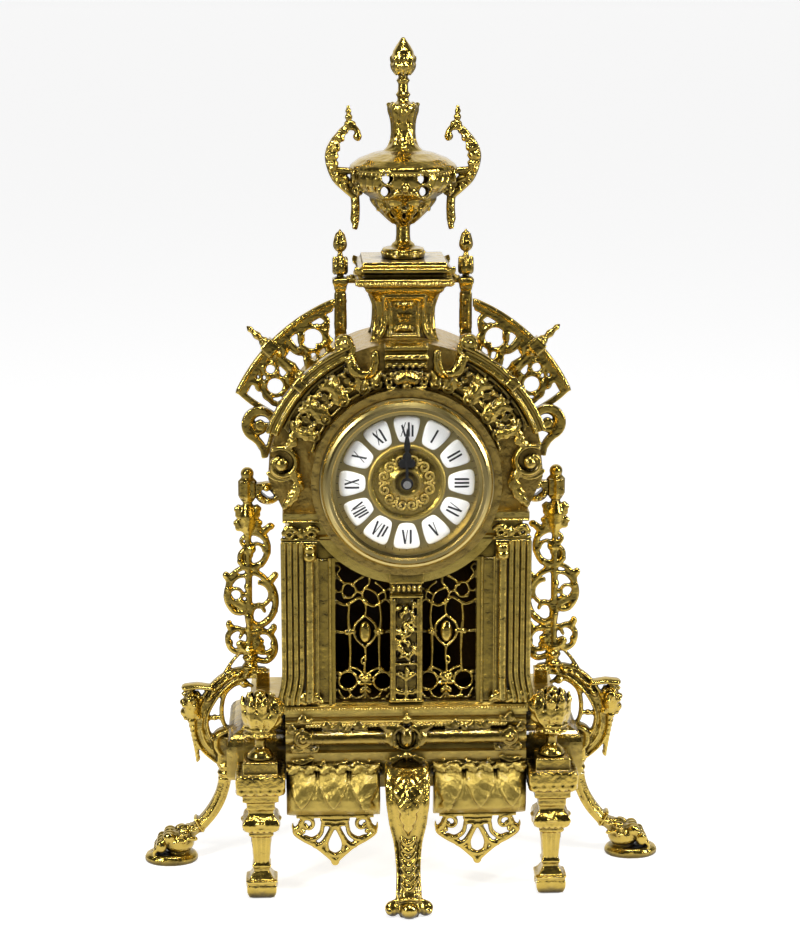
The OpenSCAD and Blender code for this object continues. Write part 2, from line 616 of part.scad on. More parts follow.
// Pierced foliage between the drum and the arch, with the ball scroll at its foot.
module tympanum() color(brass) {
    c = [0, dial_z];
    rm = (drum_r + hood_r) / 2;
    cast(hood_y - 4, 4) {
        polygon(concat(arc(c, drum_r + 5, 24, 66, 20), reversed(arc(c, drum_r + 2.6, 24, 66, 20))));
        for (a = [32, 46, 60]) ring(c + polar(rm + 1, a), 7.2, 2.4);
        for (a = [32, 46, 60]) disc(c + polar(rm + 1, a), 2.6);
        for (a = [32, 46, 60]) strap([c + polar(drum_r + 4, a - 6), c + polar(rm - 5, a - 5),
            c + polar(rm + 1, a - 6.4)], even(2.2), 4);
        for (a = [32, 46, 60]) strap([c + polar(rm + 6, a + 4), c + polar(rm + 11, a + 5),
            c + polar(hood_r - 3.6, a + 5)], even(2.4), 3);
        for (a = [32, 46, 60]) strap([c + polar(rm - 6, a), c + polar(rm, a), c + polar(rm + 6, a)], even(1.6), 2);
        strap([c + polar(drum_r + 4, 26), c + polar(rm, 22), c + polar(hood_r - 4, 25),
            c + polar(hood_r - 3.6, 34), c + polar(hood_r - 4, 46), c + polar(hood_r - 4, 54),
            c + polar(hood_r - 4, 60)], even(2.6));
    }
    translate([hood_r - 9, 0, dial_z + 11]) cast(hood_y - 4, 4) {
        curl([0, 0], 10.5, 3.4, 60, 330);
        disc([0, 0], 4.2);
        strap([[-8.5, -5], [-11, -14], [-6, -21], [-2, 3 - 11 - dial_up]], taper(4, 5, 6), 5);
        strap([[-1.5, 10], [-6, 13], [-7, 22]], taper(3, 3, 3), 4);
        bar(-1.2, 1.2, -10, -3);
    }
}
module right_tympanum() tympanum();
module left_tympanum() mirrored() tympanum();

// Pierced wing between the hood and its outer band, with the baluster that crosses it.
module fret() color(brass) {
    c = [0, dial_z];
    post = post_span / 2 + 4;
    a1 = acos(post / fret_r);
    rm = (hood_r + fret_r) / 2;
    cast(fret_y, fret_t) {
        difference() {
            union() {
                polygon(concat(arc(c, fret_r, 25, a1, 28), reversed(arc(c, fret_r - 5.5, 25, a1, 28))));
                polygon(concat(arc(c, hood_r + 4, 22, a1 - 3, 28), reversed(arc(c, hood_r + gap, 22, a1 - 3, 28))));
                strap([c + polar(fret_r - 2, 26), c + polar(fret_r - 13, 24.5), c + polar(hood_r + 2, 23)], even(4), 5);
                ring(c + polar(rm, a1 - 12.8), 9, 2.4);
                strap([c + polar(fret_r - 6, a1 - 19), c + polar(rm + 2, a1 - 19.4), c + polar(rm - 5.5, a1 - 18.2),
                    c + polar(hood_r + 2, a1 - 18.3)], even(2.6), 5);
                strap([c + polar(fret_r - 6, a1 - 6.3), c + polar(rm + 3.5, a1 - 5.3), c + polar(rm - 4.5, a1 - 8.3),
                    c + polar(hood_r + 3, a1 - 9.3)], even(2.6), 5);
                ring(c + polar(rm - 4.5, 33.5), 7.4, 2.2);
                ring(c + polar(rm + 4.5, 37.5), 5, 2);
                strap([c + polar(fret_r - 5, 30), c + polar(rm + 2.5, 31), c + polar(rm - 2.5, 28),
                    c + polar(hood_r + 3, 28)], even(2.6), 5);
                strap([c + polar(hood_r + 5, 40), c + polar(rm - 2.5, 41), c + polar(fret_r - 5, 41)], even(2.4), 4);
                strap([c + polar(rm - 10.5, a1 - 14.3), c + polar(rm - 4.5, a1 - 12.3)], even(2.4), 3);
            }
            bar(0, post, dial_z, dial_z + 130);
        }
    }
    translate([0, fret_y + fret_t / 2, dial_z]) rotate([0, 90 - block_a, 0]) {
        rotate_extrude() polygon([[0, hood_r + 1], [3.4, hood_r + 1], [3.4, hood_r + 4], [2.2, hood_r + 6],
            [3.6, hood_r + 11], [2.2, hood_r + 17], [2, hood_r + 21], [3.4, hood_r + 24], [3.4, fret_r - 4],
            [3.4, fret_r + 4], [1.8, fret_r + 6], [2.9, fret_r + 9], [1.6, fret_r + 13],
            [2.2, fret_r + 15.5], [0, fret_r + 19]]);
        translate([-4.6, -4.6, fret_r - 7]) cube([9.2, 9.2, 9]);
    }
}
module right_fret() fret();
module left_fret() mirrored() fret();

module ear() color(brass) translate([0, 0, dial_z]) cast(fret_y - 6, 6 - gap) {
    curl([95.5, 31.5], 9.6, 5, -70, 205);
    strap([[98.5, 22], [94, 16.5], [hood_r + 2.4, 9]], taper(5, 4.4, 4), 5);
    disc([95.5, 31.5], 3);
    bar(87.5, 95.5, 30.4, 32.6);
    strap([[87, 27], [hood_r - 1, 18.5], [hood_r + 2, 10]], even(3.4), 4);
}
module right_ear() difference() { ear(); cast(hood_y, 90) disc([0, dial_z], hood_r + gap); }
module left_ear() mirrored() right_ear();

// Leaf shell over the dial and the moulded corbel above it.
module crest() color(bright) {
    c = [0, dial_z];
    cast(hood_y - 7, 7) {
        for (i = [-3 : 3]) strap([c + [i * 1.2, drum_r + 2], c + [i * 2.6, drum_r + 8],
            c + [i * 3.4, drum_r + 14 - abs(i)]], taper(2.6, 3.4, 2), 4);
        bar(-9, 9, dial_z + drum_r + 1.5, dial_z + drum_r + 4);
    }
    across(0, 28) translate([0, hood_top]) polygon([[hood_y, -18], [hood_y - 4, -18], [hood_y - 4.5, -16],
        [hood_y - 7, -15], [hood_y - 7, -13], [hood_y - 5.5, -12], [hood_y - 8, -9.5], [hood_y - 8, -7.5],
        [hood_y - 6, -6], [hood_y - 9, -3.5], [hood_y - 9, -1.5], [hood_y, 0]]);
}

// ---------- tower and urn ----------
module tower() color(brass) difference() {
    h = tower_w / 2;
    union() {
        mitred(0, axis_y, concat([[h + 2, hood_top - 12], [h + 2, hood_top - 2]],
            smooth([[h + 0.5, hood_top], [h - 6, hood_top + 8], [h - 7.2, hood_top + 18], [h - 6.4, tower_top - 8]], 4),
            [[h - 5, tower_top - 7], [h - 2, tower_top - 4.5], [h, tower_top - 3.5], [h, tower_top]]));
        cast(axis_y - h + 3, 6) difference() {
            bar(-9, 9, hood_top - 1, tower_top - 8);
            bar(-6.5, 6.5, hood_top + 2, tower_top - 11);
        }
        cast(axis_y - h + 2, 6) for (s = [-1, 1]) strap([[0, hood_top + 3], [s * 3.4, hood_top + 8],
            [0, hood_top + 13], [s * 2.6, hood_top + 17], [0, tower_top - 11.5]], even(1.6), 4);
    }
    cast(-60, 200) disc([0, dial_z], hood_r + gap);
    cast(-60, 200) bar(-60, 60, 0, hood_top - 6);
}

module tower_cap() color(brass) {
    h = cap_w / 2;
    mitred(0, axis_y, [[h - 4, tower_top], [h - 4, tower_top + 1], [h + 0.5, tower_top + 1.5],
        [h + 0.5, tower_top + 6], [h - 3, tower_top + 7], [h - 3.6, tower_top + 9], [h, tower_top + 11],
        [h, tower_top + 13], [h - 3, cap_top - 2], [h - 3, cap_top]]);
    for (s = [-1, 1]) scale([s, 1, 1]) translate([h, axis_y - 2, tower_top])
        cube([post_span / 2 - 4 - h, 4, 5]);
}

module post() color(bright) {
    x = post_span / 2;
    difference() {
        turned(x, axis_y, [[4, hood_top - 14], [4, hood_top - 4], [3.2, hood_top - 3], [4, hood_top],
            [3.4, tower_top - 5], [4, tower_top - 3.4], [4, tower_top - 2.6]]);
        cast(-60, 200) disc([0, dial_z], hood_r + gap);
    }
    translate([x - 4, axis_y - 4, tower_top - 2.6]) cube([8, 8, 7.6]);
    turned(x, axis_y, raised([[3, 0], [4.6, 1.5], [2, 3.5], [1.6, 6], [4, 9], [5.3, 14], [4.2, 18], [2.4, 21],
        [3, 23.5], [1.4, 27], [0.6, 31]], tower_top + 5));
}
module right_post() post();
module left_post() mirrored() post();

urn_z = cap_top;
module urn_bowl() color(bright) {
    k = urn_h / 102;
    s = urn_r / 34.8;
    difference() {
        union() {
            translate([-14.2, axis_y - 14.2, urn_z]) cube([28.4, 28.4, 5]);
            translate([0, axis_y, urn_z]) rotate_extrude() polygon(concat(
                [[0, 4], [6, 4], [6, 9 * k], [4, 10.5 * k], [3.5, 13 * k], [4.4, 18 * k], [6, 21 * k],
                    [5.3, 24 * k], [9, 27 * k]],
                [for (p = [[18.4, 34], [22.5, 38.5], [33, 51], [34.8, 54], [34.8, 57.5], [31.2, 57.5],
                    [31.2, 55], [29.8, 52], [19.3, 39.5], [15, 36.4], [0, 34]]) [p[0] * s, p[1] * k]]));
        }
        for (i = [0 : 15]) translate([0, axis_y, urn_z + 45 * k]) rotate([90, 0, i * 22.5 + 11.25])
            translate([0, 0, 20 * s]) cylinder(r = 3.3, h = 20);
    }
}

module urn_lid() color(bright) {
    k = urn_h / 102;
    s = urn_r / 34.8;
    turned(0, axis_y, [for (p = [[34.8, 57.5], [35.2, 59], [34.4, 61], [29, 65], [20, 68.5], [13, 70], [11.5, 71.5],
        [7, 76], [6, 84], [6.7, 90], [8.4, 93], [9.75, 97], [9.4, 99.5], [4, 101.5], [3.6, 104], [5, 106],
        [3.4, 108], [3.2, 113], [4.6, 115], [3, 117], [3.2, 119.5], [6, 123.5], [7.5, 129],
        [6.6, 134], [3.6, 138.5], [1, 142.5]]) [p[0] > 12 ? p[0] * s : p[0], urn_z + p[1] * k]]);
}

// Scrolled dragon-stem handle, with its drop.
module urn_handle() color(brass) {
    k = urn_h / 102;
    r = urn_r;
    difference() {
        translate([r, 0, urn_z + 55 * k]) cast(axis_y - 2.5, 5) {
            strap([[-4, -3.6], [1, -6.5], [6.5, -8], [12, -4], [15, 8], [12, 17], [4, 21], [-3, 25], [-5, 31], [-4, 37]],
                [[0, 5], [0.4, 5.6], [0.6, 5], [0.8, 3.4], [1, 2.6]], 5);
            strap([[5, -8], [-0.5, -17], [-2.5, -28], [-3, -37]], taper(4.4, 4, 2.4), 5);
            disc([-2.8, -33], 2.8);
            strap([[14, 8], [19, 12], [17, 17]], taper(4, 4, 2), 4);
            disc([-4, 42], 2.4);
            bar(-5, -3, 34, 41);
        }
        turned(0, axis_y, [for (p = [[18.4, 33.8], [22.5, 38.3], [33, 50.8], [34.8, 53.8], [34.8, 57.3],
            [35.2, 58.8], [34.4, 61.2], [29, 65.2]]) [p[0] * r / 34.8 + gap, urn_z + p[1] * k]]);
    }
}
module right_handle() urn_handle();
module left_handle() mirrored() urn_handle();

// ---------- dial ----------
dial_y = drum_y + 1.5;
plate_t = 1.5;
module bezel() color(bright) translate([0, drum_y, dial_z]) rotate([90, 0, 0]) rotate_extrude() polygon([
    [bezel_r, 0], [bezel_r, 3], [bezel_r - 0.8, 4], [bezel_r - 2, bezel_t - 2.6], [bezel_r - 3.6, bezel_t - 1.6],
    [bezel_r - 5, bezel_t], [bezel_r - 7, bezel_t], [bezel_r - 8, bezel_t - 1.8], [glass_r - 1.4, bezel_t - 2.2],
    [glass_r - 1.4, bezel_t - 3], [glass_r + 0.1, bezel_t - 3], [glass_r + 0.1, bezel_t - 4.6],
    [glass_r - 0.8, bezel_t - 4.6], [glass_r, 1.5], [glass_r, 0]
]);

module glass() color([0.8, 0.9, 0.95, 0.35]) translate([0, drum_y, dial_z]) rotate([90, 0, 0]) {
    z = bezel_t - 4.5;
    rise = 4.5;
    c = (pow(glass_r - 2, 2) - rise * rise) / (2 * rise);
    big = c + rise;
    rotate_extrude() polygon(concat([[glass_r, z], [glass_r, z + 1.4], [glass_r - 1.6, z + 1.4]],
        [for (i = [1 : 12]) let (x = (glass_r - 2) * (1 - i / 12)) [x, z + 1.4 - c + sqrt(big * big - x * x)]],
        [for (i = [0 : 12]) let (x = (glass_r - 3) * i / 12) [x, z - 0.2 - c + sqrt(big * big - x * x)]]));
}

module dial_plate() color([0.75, 0.7, 0.5]) {
    difference() {
        about_dial(dial_y) cylinder(r = drum_r - drum_wall - gap, h = plate_t);
        about_dial(dial_y - 1) cylinder(r = 2.8, h = plate_t + 2);
    }
    for (a = [45, 165, 285]) translate([(plate_r - 6) * cos(a), dial_y + plate_t, dial_z + (plate_r - 6) * sin(a)])
        rotate([-90, 0, 0]) cylinder(r = 2, h = frame_y - dial_y - plate_t);
}

// Twelve glazed shields, narrowing to the centre.
module cartouches() color([0.95, 0.95, 0.9]) cast(dial_y - 1.2, 1.2) translate([0, dial_z])
    for (i = [0 : 11]) rotate(i * 30) {
        o = cart_r;
        n = o - 16;
        polygon(smooth([[n, 0], [n + 1, 4.2], [n + 7, 6.4], [o - 4, 8.6], [o - 0.8, 6.4], [o, 0],
            [o - 0.8, -6.4], [o - 4, -8.6], [n + 7, -6.4], [n + 1, -4.2], [n, 0]], 4));
    }

module dial_centre() color(brass) translate([0, dial_y, dial_z]) rotate([90, 0, 0]) rotate_extrude() polygon([
    [2.8, 0], [25.4, 0], [25.4, 1], [24.4, 1.6], [23, 1.6], [22, 0.8], [10, 0.8], [8.7, 1.8], [7, 2], [5.6, 1.4],
    [2.8, 1.4]]);

hour_y = dial_y - 3;
minute_y = hour_y - 1.5;
arbor_r = 1.5;
pipe_r = 2.4;
module hour_hand() color([0.05, 0.05, 0.05]) cast(hour_y - 0.8, 0.8) translate([0, dial_z]) difference() {
    union() {
        disc([0, 0], 4);
        polygon([[-1.1, 2], [1.1, 2], [0.8, hour_l - 12], [-0.8, hour_l - 12]]);
        for (a = [90, 210, 330]) disc([0, hour_l - 9] + polar(3, a), 2.8);
        polygon([[-1.4, hour_l - 6], [1.4, hour_l - 6], [0.15, hour_l], [-0.15, hour_l]]);
    }
    disc([0, 0], pipe_r + 0.01);
}
module minute_hand() color([0.05, 0.05, 0.05]) cast(minute_y - 0.8, 0.8) translate([0, dial_z]) difference() {
    union() {
        disc([0, 0], 3.4);
        polygon([[-1, 1], [1, 1], [0.7, minute_l - 17], [2.2, minute_l - 12], [0.15, minute_l], [-0.15, minute_l],
            [-2.2, minute_l - 12], [-0.7, minute_l - 17]]);
    }
    disc([0, 0], arbor_r + 0.01);
}

// ---------- movement ----------
frame_y = drum_y + 26;
leaf_t = 1.5;
back_y = frame_y + leaf_t + plate_gap;
going = [10, 80, 60, 10];
// Involute tooth: half its angle at radius r, for z teeth of module m.
function inv(a) = tan(a) * 180 / PI - a;
function half_tooth(r, z, m) = let (rb = m * z / 2 * cos(20), q = max(r, rb))
    81 / z + inv(20) - inv(acos(min(1, rb / q)));
function gear(z, m, add, ded, p = 0) = let (r = m * z / 2, radii = [r - ded * m, r * 0.985, r, r + add * m])
    [for (i = [0 : z - 1], s = [-1, 1], k = [0 : 3])
        let (q = s < 0 ? radii[k] : radii[3 - k]) polar(q, p + i * 360 / z + s * half_tooth(q, z, m))];
module wheel(z, m, p = 0) difference() {
    polygon(gear(z, m, 0.45, 1.15, p));
    if (m * z > 24) for (i = [0 : 4]) rotate(p + i * 72) difference() {
        polygon(concat(arc([0, 0], m * z / 2 - 3, 8, 64, 8), [[4.4 * cos(64), 4.4 * sin(64)], [4.4 * cos(8), 4.4 * sin(8)]]));
        circle(4);
    }
}
module pinion(z, m, p = 0) polygon(gear(z, m, 0.9, 0.75, p));
// Phase of a gear of zb teeth that meets one of za teeth, phase pa, in direction a.
function meshed(pa, za, zb, a) = a + 180 - (180 - (a - pa) * za) / zb;

barrel_a = 235;
third_a = 35;
escape_a = 125;
barrel_c = train_m * (going[1] + going[0]) / 2;
train_c = train_m * (going[2] + going[3]) / 2;
barrel_p = polar(barrel_c, barrel_a);
third_p = polar(train_c, third_a);
escape_p = third_p + polar(train_c, escape_a);
balance_p = [-9, plate_r - 16];
motion_c = 12.5;
motion_p = [-motion_c, 0];
module level(p, u, t) translate([p[0], 0, 0]) cast(frame_y + leaf_t + u, t) translate([0, dial_z + p[1]]) children();
module rod(p, y0, y1, r) translate([p[0], y0, dial_z + p[1]]) rotate([-90, 0, 0]) cylinder(r = r, h = y1 - y0);

module movement_frame() color([0.8, 0.66, 0.34]) {
    difference() {
        union() {
            about_dial(frame_y) cylinder(r = plate_r, h = leaf_t);
            about_dial(back_y) cylinder(r = plate_r, h = leaf_t);
            rod(balance_p, back_y + leaf_t, back_y + leaf_t + 3, 8);
        }
        rod([0, 0], frame_y - 1, back_y + 9, 1.1 + run);
        rod(barrel_p, frame_y - 1, back_y + 9, 1.6 + run);
        rod(third_p, frame_y - 1, back_y + 9, 0.8 + run);
        rod(escape_p, frame_y - 1, back_y + 9, 0.8 + run);
        rod(balance_p, back_y - 1, back_y + 20, 0.6 + run);
    }
    for (a = [0, 90, 180, 270]) rod(polar(plate_r - 4, a + 10), frame_y + 1, back_y + 1, 2);
    rod(motion_p, frame_y - 13, frame_y + 1, 0.8);
    // cock over the balance
    difference() {
        union() {
            rod(balance_p, back_y + leaf_t + 8, back_y + leaf_t + 10, 3.5);
            rod(balance_p + [-14, 0], back_y + leaf_t, back_y + leaf_t + 10, 2.5);
            translate([balance_p[0] - 14, back_y + leaf_t + 8, dial_z + balance_p[1] - 2]) cube([14, 2, 4]);
        }
        rod(balance_p, back_y, back_y + 20, 0.6 + run);
    }
}

module barrel() color([0.8, 0.66, 0.34]) difference() {
    union() {
        level(barrel_p, 2, 2) polygon(gear(going[1], train_m, 0.45, 1.15, meshed(0, going[0], going[1], barrel_a)));
        level(barrel_p, 4, 9.5) circle(train_m * going[1] / 2 - 2.5);
        level(barrel_p, 0.4, 2) circle(3.2);
    }
    rod(barrel_p, frame_y, back_y, 2 + run);
}
module barrel_arbor() color(steel) {
    rod(barrel_p, frame_y + leaf_t + 0.2, back_y - 0.2, 2);
    rod(barrel_p, frame_y, back_y + leaf_t + 3, 1.6);
    level(barrel_p, plate_gap + leaf_t + 2, 9) square(2.8, center = true);
}
module winding_key() color(brass) translate([barrel_p[0], back_y + leaf_t + 6, dial_z + barrel_p[1]]) {
    cast(0, 18) difference() { circle(3.2); square(3.0, center = true); }
    translate([0, 18, -1]) linear_extrude(2) difference() {
        union() {
            circle(3.2);
            for (s = [-1, 1]) disc([s * 6.5, 7], 6);
            bar(-4, 4, 0, 8);
        }
        for (s = [-1, 1]) disc([s * 6.5, 7], 3.4);
    }
}

module centre_arbor() color(steel) {
    rod([0, 0], minute_y - 0.8, frame_y - 0.3, arbor_r);
    rod([0, 0], minute_y - 2.2, minute_y - 0.8, 2.6);
    rod([0, 0], frame_y - 1, back_y + leaf_t + 4, 1.1);
    rod([0, 0], frame_y + leaf_t + 0.2, back_y - 0.2, 1.4);
    rod([0, 0], back_y + leaf_t + 4, back_y + leaf_t + 8, 4.5);
    cast(frame_y - 6, 3) translate([0, dial_z]) pinion(12, 2 * motion_c / 48, 0);
    level([0, 0], 1.5, 3) pinion(going[0], train_m, 0);
    level([0, 0], 16, 1.5) wheel(going[2], train_m, 0);
}

third_phase = meshed(0, going[2], going[3], third_a);
module third_wheel() color([0.8, 0.66, 0.34]) {
    rod(third_p, frame_y, back_y + leaf_t, 0.8);
    rod(third_p, frame_y + leaf_t + 0.2, back_y - 0.2, 1.2);
    level(third_p, 15.2, 3) pinion(going[3], train_m, third_phase);
    level(third_p, 6, 1.5) wheel(going[2], train_m, third_phase);
}
module escape_wheel() color([0.8, 0.66, 0.34]) {
    p = meshed(third_phase, going[2], going[3], escape_a);
    rod(escape_p, frame_y, back_y + leaf_t, 0.8);
    rod(escape_p, frame_y + leaf_t + 0.2, back_y - 0.2, 1.2);
    level(escape_p, 5, 3.5) pinion(going[3], train_m, p);
    level(escape_p, 19, 1.2) difference() {
        polygon([for (i = [0 : 14], q = [[6.4, 0], [8.8, 9], [8.8, 11], [6.8, 13]]) polar(q[0], i * 24 + q[1])]);
        for (i = [0 : 3]) rotate(i * 90) disc([4, 0], 1.6);
    }
}
module balance() color(brass) {
    rod(balance_p, back_y + leaf_t + 1, back_y + leaf_t + 10, 0.6);
    level(balance_p, plate_gap + leaf_t + 5, 1.4) {
        ring([0, 0], 10, 1.6);
        for (i = [0 : 2]) rotate(i * 120 + 30) bar(0, 9, -0.6, 0.6);
        circle(1.8);
    }
}
module minute_wheel() color([0.8, 0.66, 0.34]) translate([motion_p[0], 0, 0]) difference() {
    union() {
        cast(frame_y - 5.5, 2) translate([0, dial_z]) wheel(36, 2 * motion_c / 48, meshed(0, 12, 36, 180));
        cast(frame_y - 12, 8) translate([0, dial_z]) pinion(10, 2 * motion_c / 50, 0);
    }
    rod([0, 0], frame_y - 20, frame_y, 0.8 + run);
}
module hour_wheel() color([0.8, 0.66, 0.34]) difference() {
    union() {
        cast(frame_y - 11.5, 2) translate([0, dial_z]) wheel(40, 2 * motion_c / 50, meshed(0, 10, 40, 0));
        rod([0, 0], hour_y - 0.8, frame_y - 9.5, pipe_r);
    }
    rod([0, 0], hour_y - 5, frame_y, arbor_r + run);
}

// ---------- door ----------
hinge_x = -drum_r - 3.8;
hinge_y = drum_back + 2;
module back_door() color(brass) {
    y = drum_back + 0.3;
    about_dial(y) {
        cylinder(r = drum_r, h = door_t);
        difference() {
            translate([0, 0, -3]) cylinder(r = drum_r - drum_wall - 0.4, h = 4);
            translate([0, 0, -4]) cylinder(r = drum_r - drum_wall - 2.4, h = 4);
        }
    }
    difference() {
        union() {
            translate([hinge_x, hinge_y, dial_z - 7.7]) cylinder(r = 3, h = 15.4);
            translate([hinge_x, y, dial_z - 7.7]) cube([6, door_t, 15.4]);
        }
        translate([hinge_x, hinge_y, dial_z - 9]) cylinder(r = pin_r + run, h = 18);
    }
    translate([drum_r - 10, y + door_t, dial_z]) rotate([-90, 0, 0]) {
        cylinder(r = 1.6, h = 4);
        translate([0, 0, 3]) cylinder(r = 4, h = 3.7);
    }
}

// ---------- the whole ----------
base_block();
left_column_leg();
right_column_leg();
centre_leg();
left_paw_bracket();
right_paw_bracket();
left_front_panel();
right_front_panel();
left_apron();
right_apron();
left_vase();
right_vase();
body_shell();
left_pilaster();
right_pilaster();
left_grille();
right_grille();
centre_pilaster();
cornice();
left_spindle();
right_spindle();
left_arm();
right_arm();
hood();
drum();
left_arch();
right_arch();
left_tympanum();
right_tympanum();
left_fret();
right_fret();
left_ear();
right_ear();
crest();
tower();
tower_cap();
left_post();
right_post();
urn_bowl();
urn_lid();
left_handle();
right_handle();
bezel();
glass();
dial_plate();
cartouches();
dial_centre();
minute_hand();
hour_hand();
movement_frame();
barrel();
centre_arbor();
third_wheel();
escape_wheel();
balance();
minute_wheel();
hour_wheel();
barrel_arbor();
winding_key();
back_door();
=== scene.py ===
import bmesh
import bpy
import numpy as np
from math import cos, exp, hypot, pi, radians, sin, sqrt
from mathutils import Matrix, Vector


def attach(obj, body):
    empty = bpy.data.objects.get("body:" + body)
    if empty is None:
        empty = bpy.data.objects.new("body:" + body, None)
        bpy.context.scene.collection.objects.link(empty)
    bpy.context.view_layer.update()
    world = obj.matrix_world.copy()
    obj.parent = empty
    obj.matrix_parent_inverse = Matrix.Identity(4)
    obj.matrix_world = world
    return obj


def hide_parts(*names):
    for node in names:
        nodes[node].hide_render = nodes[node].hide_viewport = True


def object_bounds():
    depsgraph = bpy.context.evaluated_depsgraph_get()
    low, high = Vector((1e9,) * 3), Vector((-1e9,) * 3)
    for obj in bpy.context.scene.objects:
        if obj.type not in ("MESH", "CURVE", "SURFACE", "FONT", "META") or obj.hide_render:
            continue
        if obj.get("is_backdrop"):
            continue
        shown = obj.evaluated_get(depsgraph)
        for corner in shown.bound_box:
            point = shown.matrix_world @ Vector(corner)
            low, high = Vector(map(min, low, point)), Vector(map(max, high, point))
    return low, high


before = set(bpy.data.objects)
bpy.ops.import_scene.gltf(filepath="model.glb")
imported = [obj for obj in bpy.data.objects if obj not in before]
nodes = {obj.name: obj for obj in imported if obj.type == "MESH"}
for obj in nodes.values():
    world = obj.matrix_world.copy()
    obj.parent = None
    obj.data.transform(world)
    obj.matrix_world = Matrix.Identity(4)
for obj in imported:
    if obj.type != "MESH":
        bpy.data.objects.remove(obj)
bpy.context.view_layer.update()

# ------------------------------------------------------------------ the room
# A white table top runs out to the horizon, in a soft room that is bright behind the clock and
# dim before it, so that the metal has depth. Three soft lamps put the gleams on it.


def show(piece):
    """Puts an object into the scene."""
    bpy.context.scene.collection.objects.link(piece)


camera = bpy.data.objects.new("camera", bpy.data.cameras.new("camera"))
show(camera)
camera.location = (-0.068, -1.491, 0.620)
look_down, look_right = 12.7, 2.5                              # degrees
camera.rotation_euler = (radians(90 - look_down), 0, radians(-look_right))
camera.data.lens = 87.4
camera.data.sensor_width = 36
camera.data.clip_end = 200
bpy.context.scene.camera = camera
bpy.context.scene.view_settings.view_transform = "Standard"


def fill(tree, node, feeds):
    """Gives a node's inputs their values, or links them to what feeds them."""
    for key, value in feeds.items():
        if isinstance(value, bpy.types.NodeSocket):
            tree.links.new(value, node.inputs[key])
        else:
            node.inputs[key].default_value = value
    return node


def add(tree, kind, feeds=None, **settings):
    """Adds a node, with its settings and what feeds its inputs."""
    node = tree.nodes.new(kind)
    for key, value in settings.items():
        setattr(node, key, value)
    return fill(tree, node, feeds or {})


def ramp(tree, value, low, high, start, end, smooth=True):
    """Maps a value from one range to another inside a node tree."""
    ends = {"Value": value, "From Min": low, "From Max": high, "To Min": start, "To Max": end}
    kind = "SMOOTHSTEP" if smooth else "LINEAR"
    return add(tree, "ShaderNodeMapRange", ends, interpolation_type=kind).outputs[0]


def sums(tree, kind, a, b=None, c=None):
    """One step of arithmetic inside a node tree."""
    feeds = {n: value for n, value in enumerate((a, b, c)) if value is not None}
    return add(tree, "ShaderNodeMath", feeds, operation=kind).outputs[0]


def place_of(tree):
    """The place on the piece that is being shaded, in its own coordinates."""
    return add(tree, "ShaderNodeTexCoord").outputs["Object"]


def new_finish(name):
    """A new material with its node tree and its main shader."""
    made = bpy.data.materials.new(name)
    made.use_nodes = True
    return made, made.node_tree, made.node_tree.nodes["Principled BSDF"]


backdrop_white = 0.98
room = bpy.data.worlds.new("soft_room")
bpy.context.scene.world = room
room.use_nodes = True
tree = room.node_tree
way = add(tree, "ShaderNodeSeparateXYZ", {0: add(tree, "ShaderNodeTexCoord").outputs["Generated"]}).outputs
behind = ramp(tree, way["Y"], 0.1, 0.88, 0.035, backdrop_white)
overhead = ramp(tree, way["Z"], 0.5, 1.0, 0.0, 0.10)
plain = sums(tree, "MULTIPLY", add(tree, "ShaderNodeLightPath").outputs["Is Camera Ray"], backdrop_white)
glow = sums(tree, "MAXIMUM", sums(tree, "ADD", behind, overhead), plain)
fill(tree, tree.nodes["Background"], {"Color": (1, 1, 1, 1), "Strength": glow})

far = 80                                                       # metres from the clock to the table's rim
table_mesh = bpy.data.meshes.new("table_top")
table_mesh.from_pydata([(-far, -far, 0), (far, -far, 0), (far, far, 0), (-far, far, 0)], [], [(0, 1, 2, 3)])
table_top = bpy.data.objects.new("table_top", table_mesh)
show(table_top)
table_finish, tree, paper = new_finish("white_table")
seen = add(tree, "ShaderNodeLightPath").outputs
mirrored = sums(tree, "MAXIMUM", seen["Is Glossy Ray"], seen["Is Transmission Ray"])
white = sums(tree, "MAXIMUM", seen["Is Camera Ray"], mirrored)
where = add(tree, "ShaderNodeSeparateXYZ", {0: place_of(tree)}).outputs
before = ramp(tree, where["Y"], -0.42, -0.10, 0.03, 0.9)
beyond = ramp(tree, where["Y"], 0.22, 0.75, 0.9, 0.1)
aside = ramp(tree, sums(tree, "ABSOLUTE", where["X"]), 0.28, 0.9, 1.0, 0.12)
near = sums(tree, "MINIMUM", sums(tree, "MINIMUM", before, beyond), aside)
fade = sums(tree, "MAXIMUM", near, seen["Is Camera Ray"])
paint = sums(tree, "MULTIPLY", sums(tree, "MAXIMUM", fade, 0.45), 0.60)
glow = sums(tree, "MULTIPLY", sums(tree, "MULTIPLY", white, fade), 0.74)
fill(tree, paper,
    {"Base Color": paint, "Roughness": 0.9, "Specular IOR Level": 0.1, "Emission Color": (1, 1, 1, 1),
        "Emission Strength": glow})
table_mesh.materials.append(table_finish)
table_top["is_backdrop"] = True


def lamp(name, at, aim, wide, tall, watts):
    """A soft box lamp, turned to its aim."""
    light = bpy.data.lights.new(name, "AREA")
    light.shape, light.size, light.size_y, light.energy = "RECTANGLE", wide, tall, watts
    box = bpy.data.objects.new(name, light)
    show(box)
    box.location = at
    box.rotation_euler = (Vector(aim) - Vector(at)).to_track_quat("-Z", "Y").to_euler()


lamp("left_softbox", (-1.3, -1.3, 1.0), (0, 0, 0.3), 0.11, 0.8, 20.0)
lamp("right_softbox", (1.5, -0.8, 0.8), (0, 0, 0.25), 0.10, 0.8, 15.0)
lamp("top_softbox", (0.15, -0.7, 1.9), (0, 0, 0.3), 0.7, 0.13, 15.0)

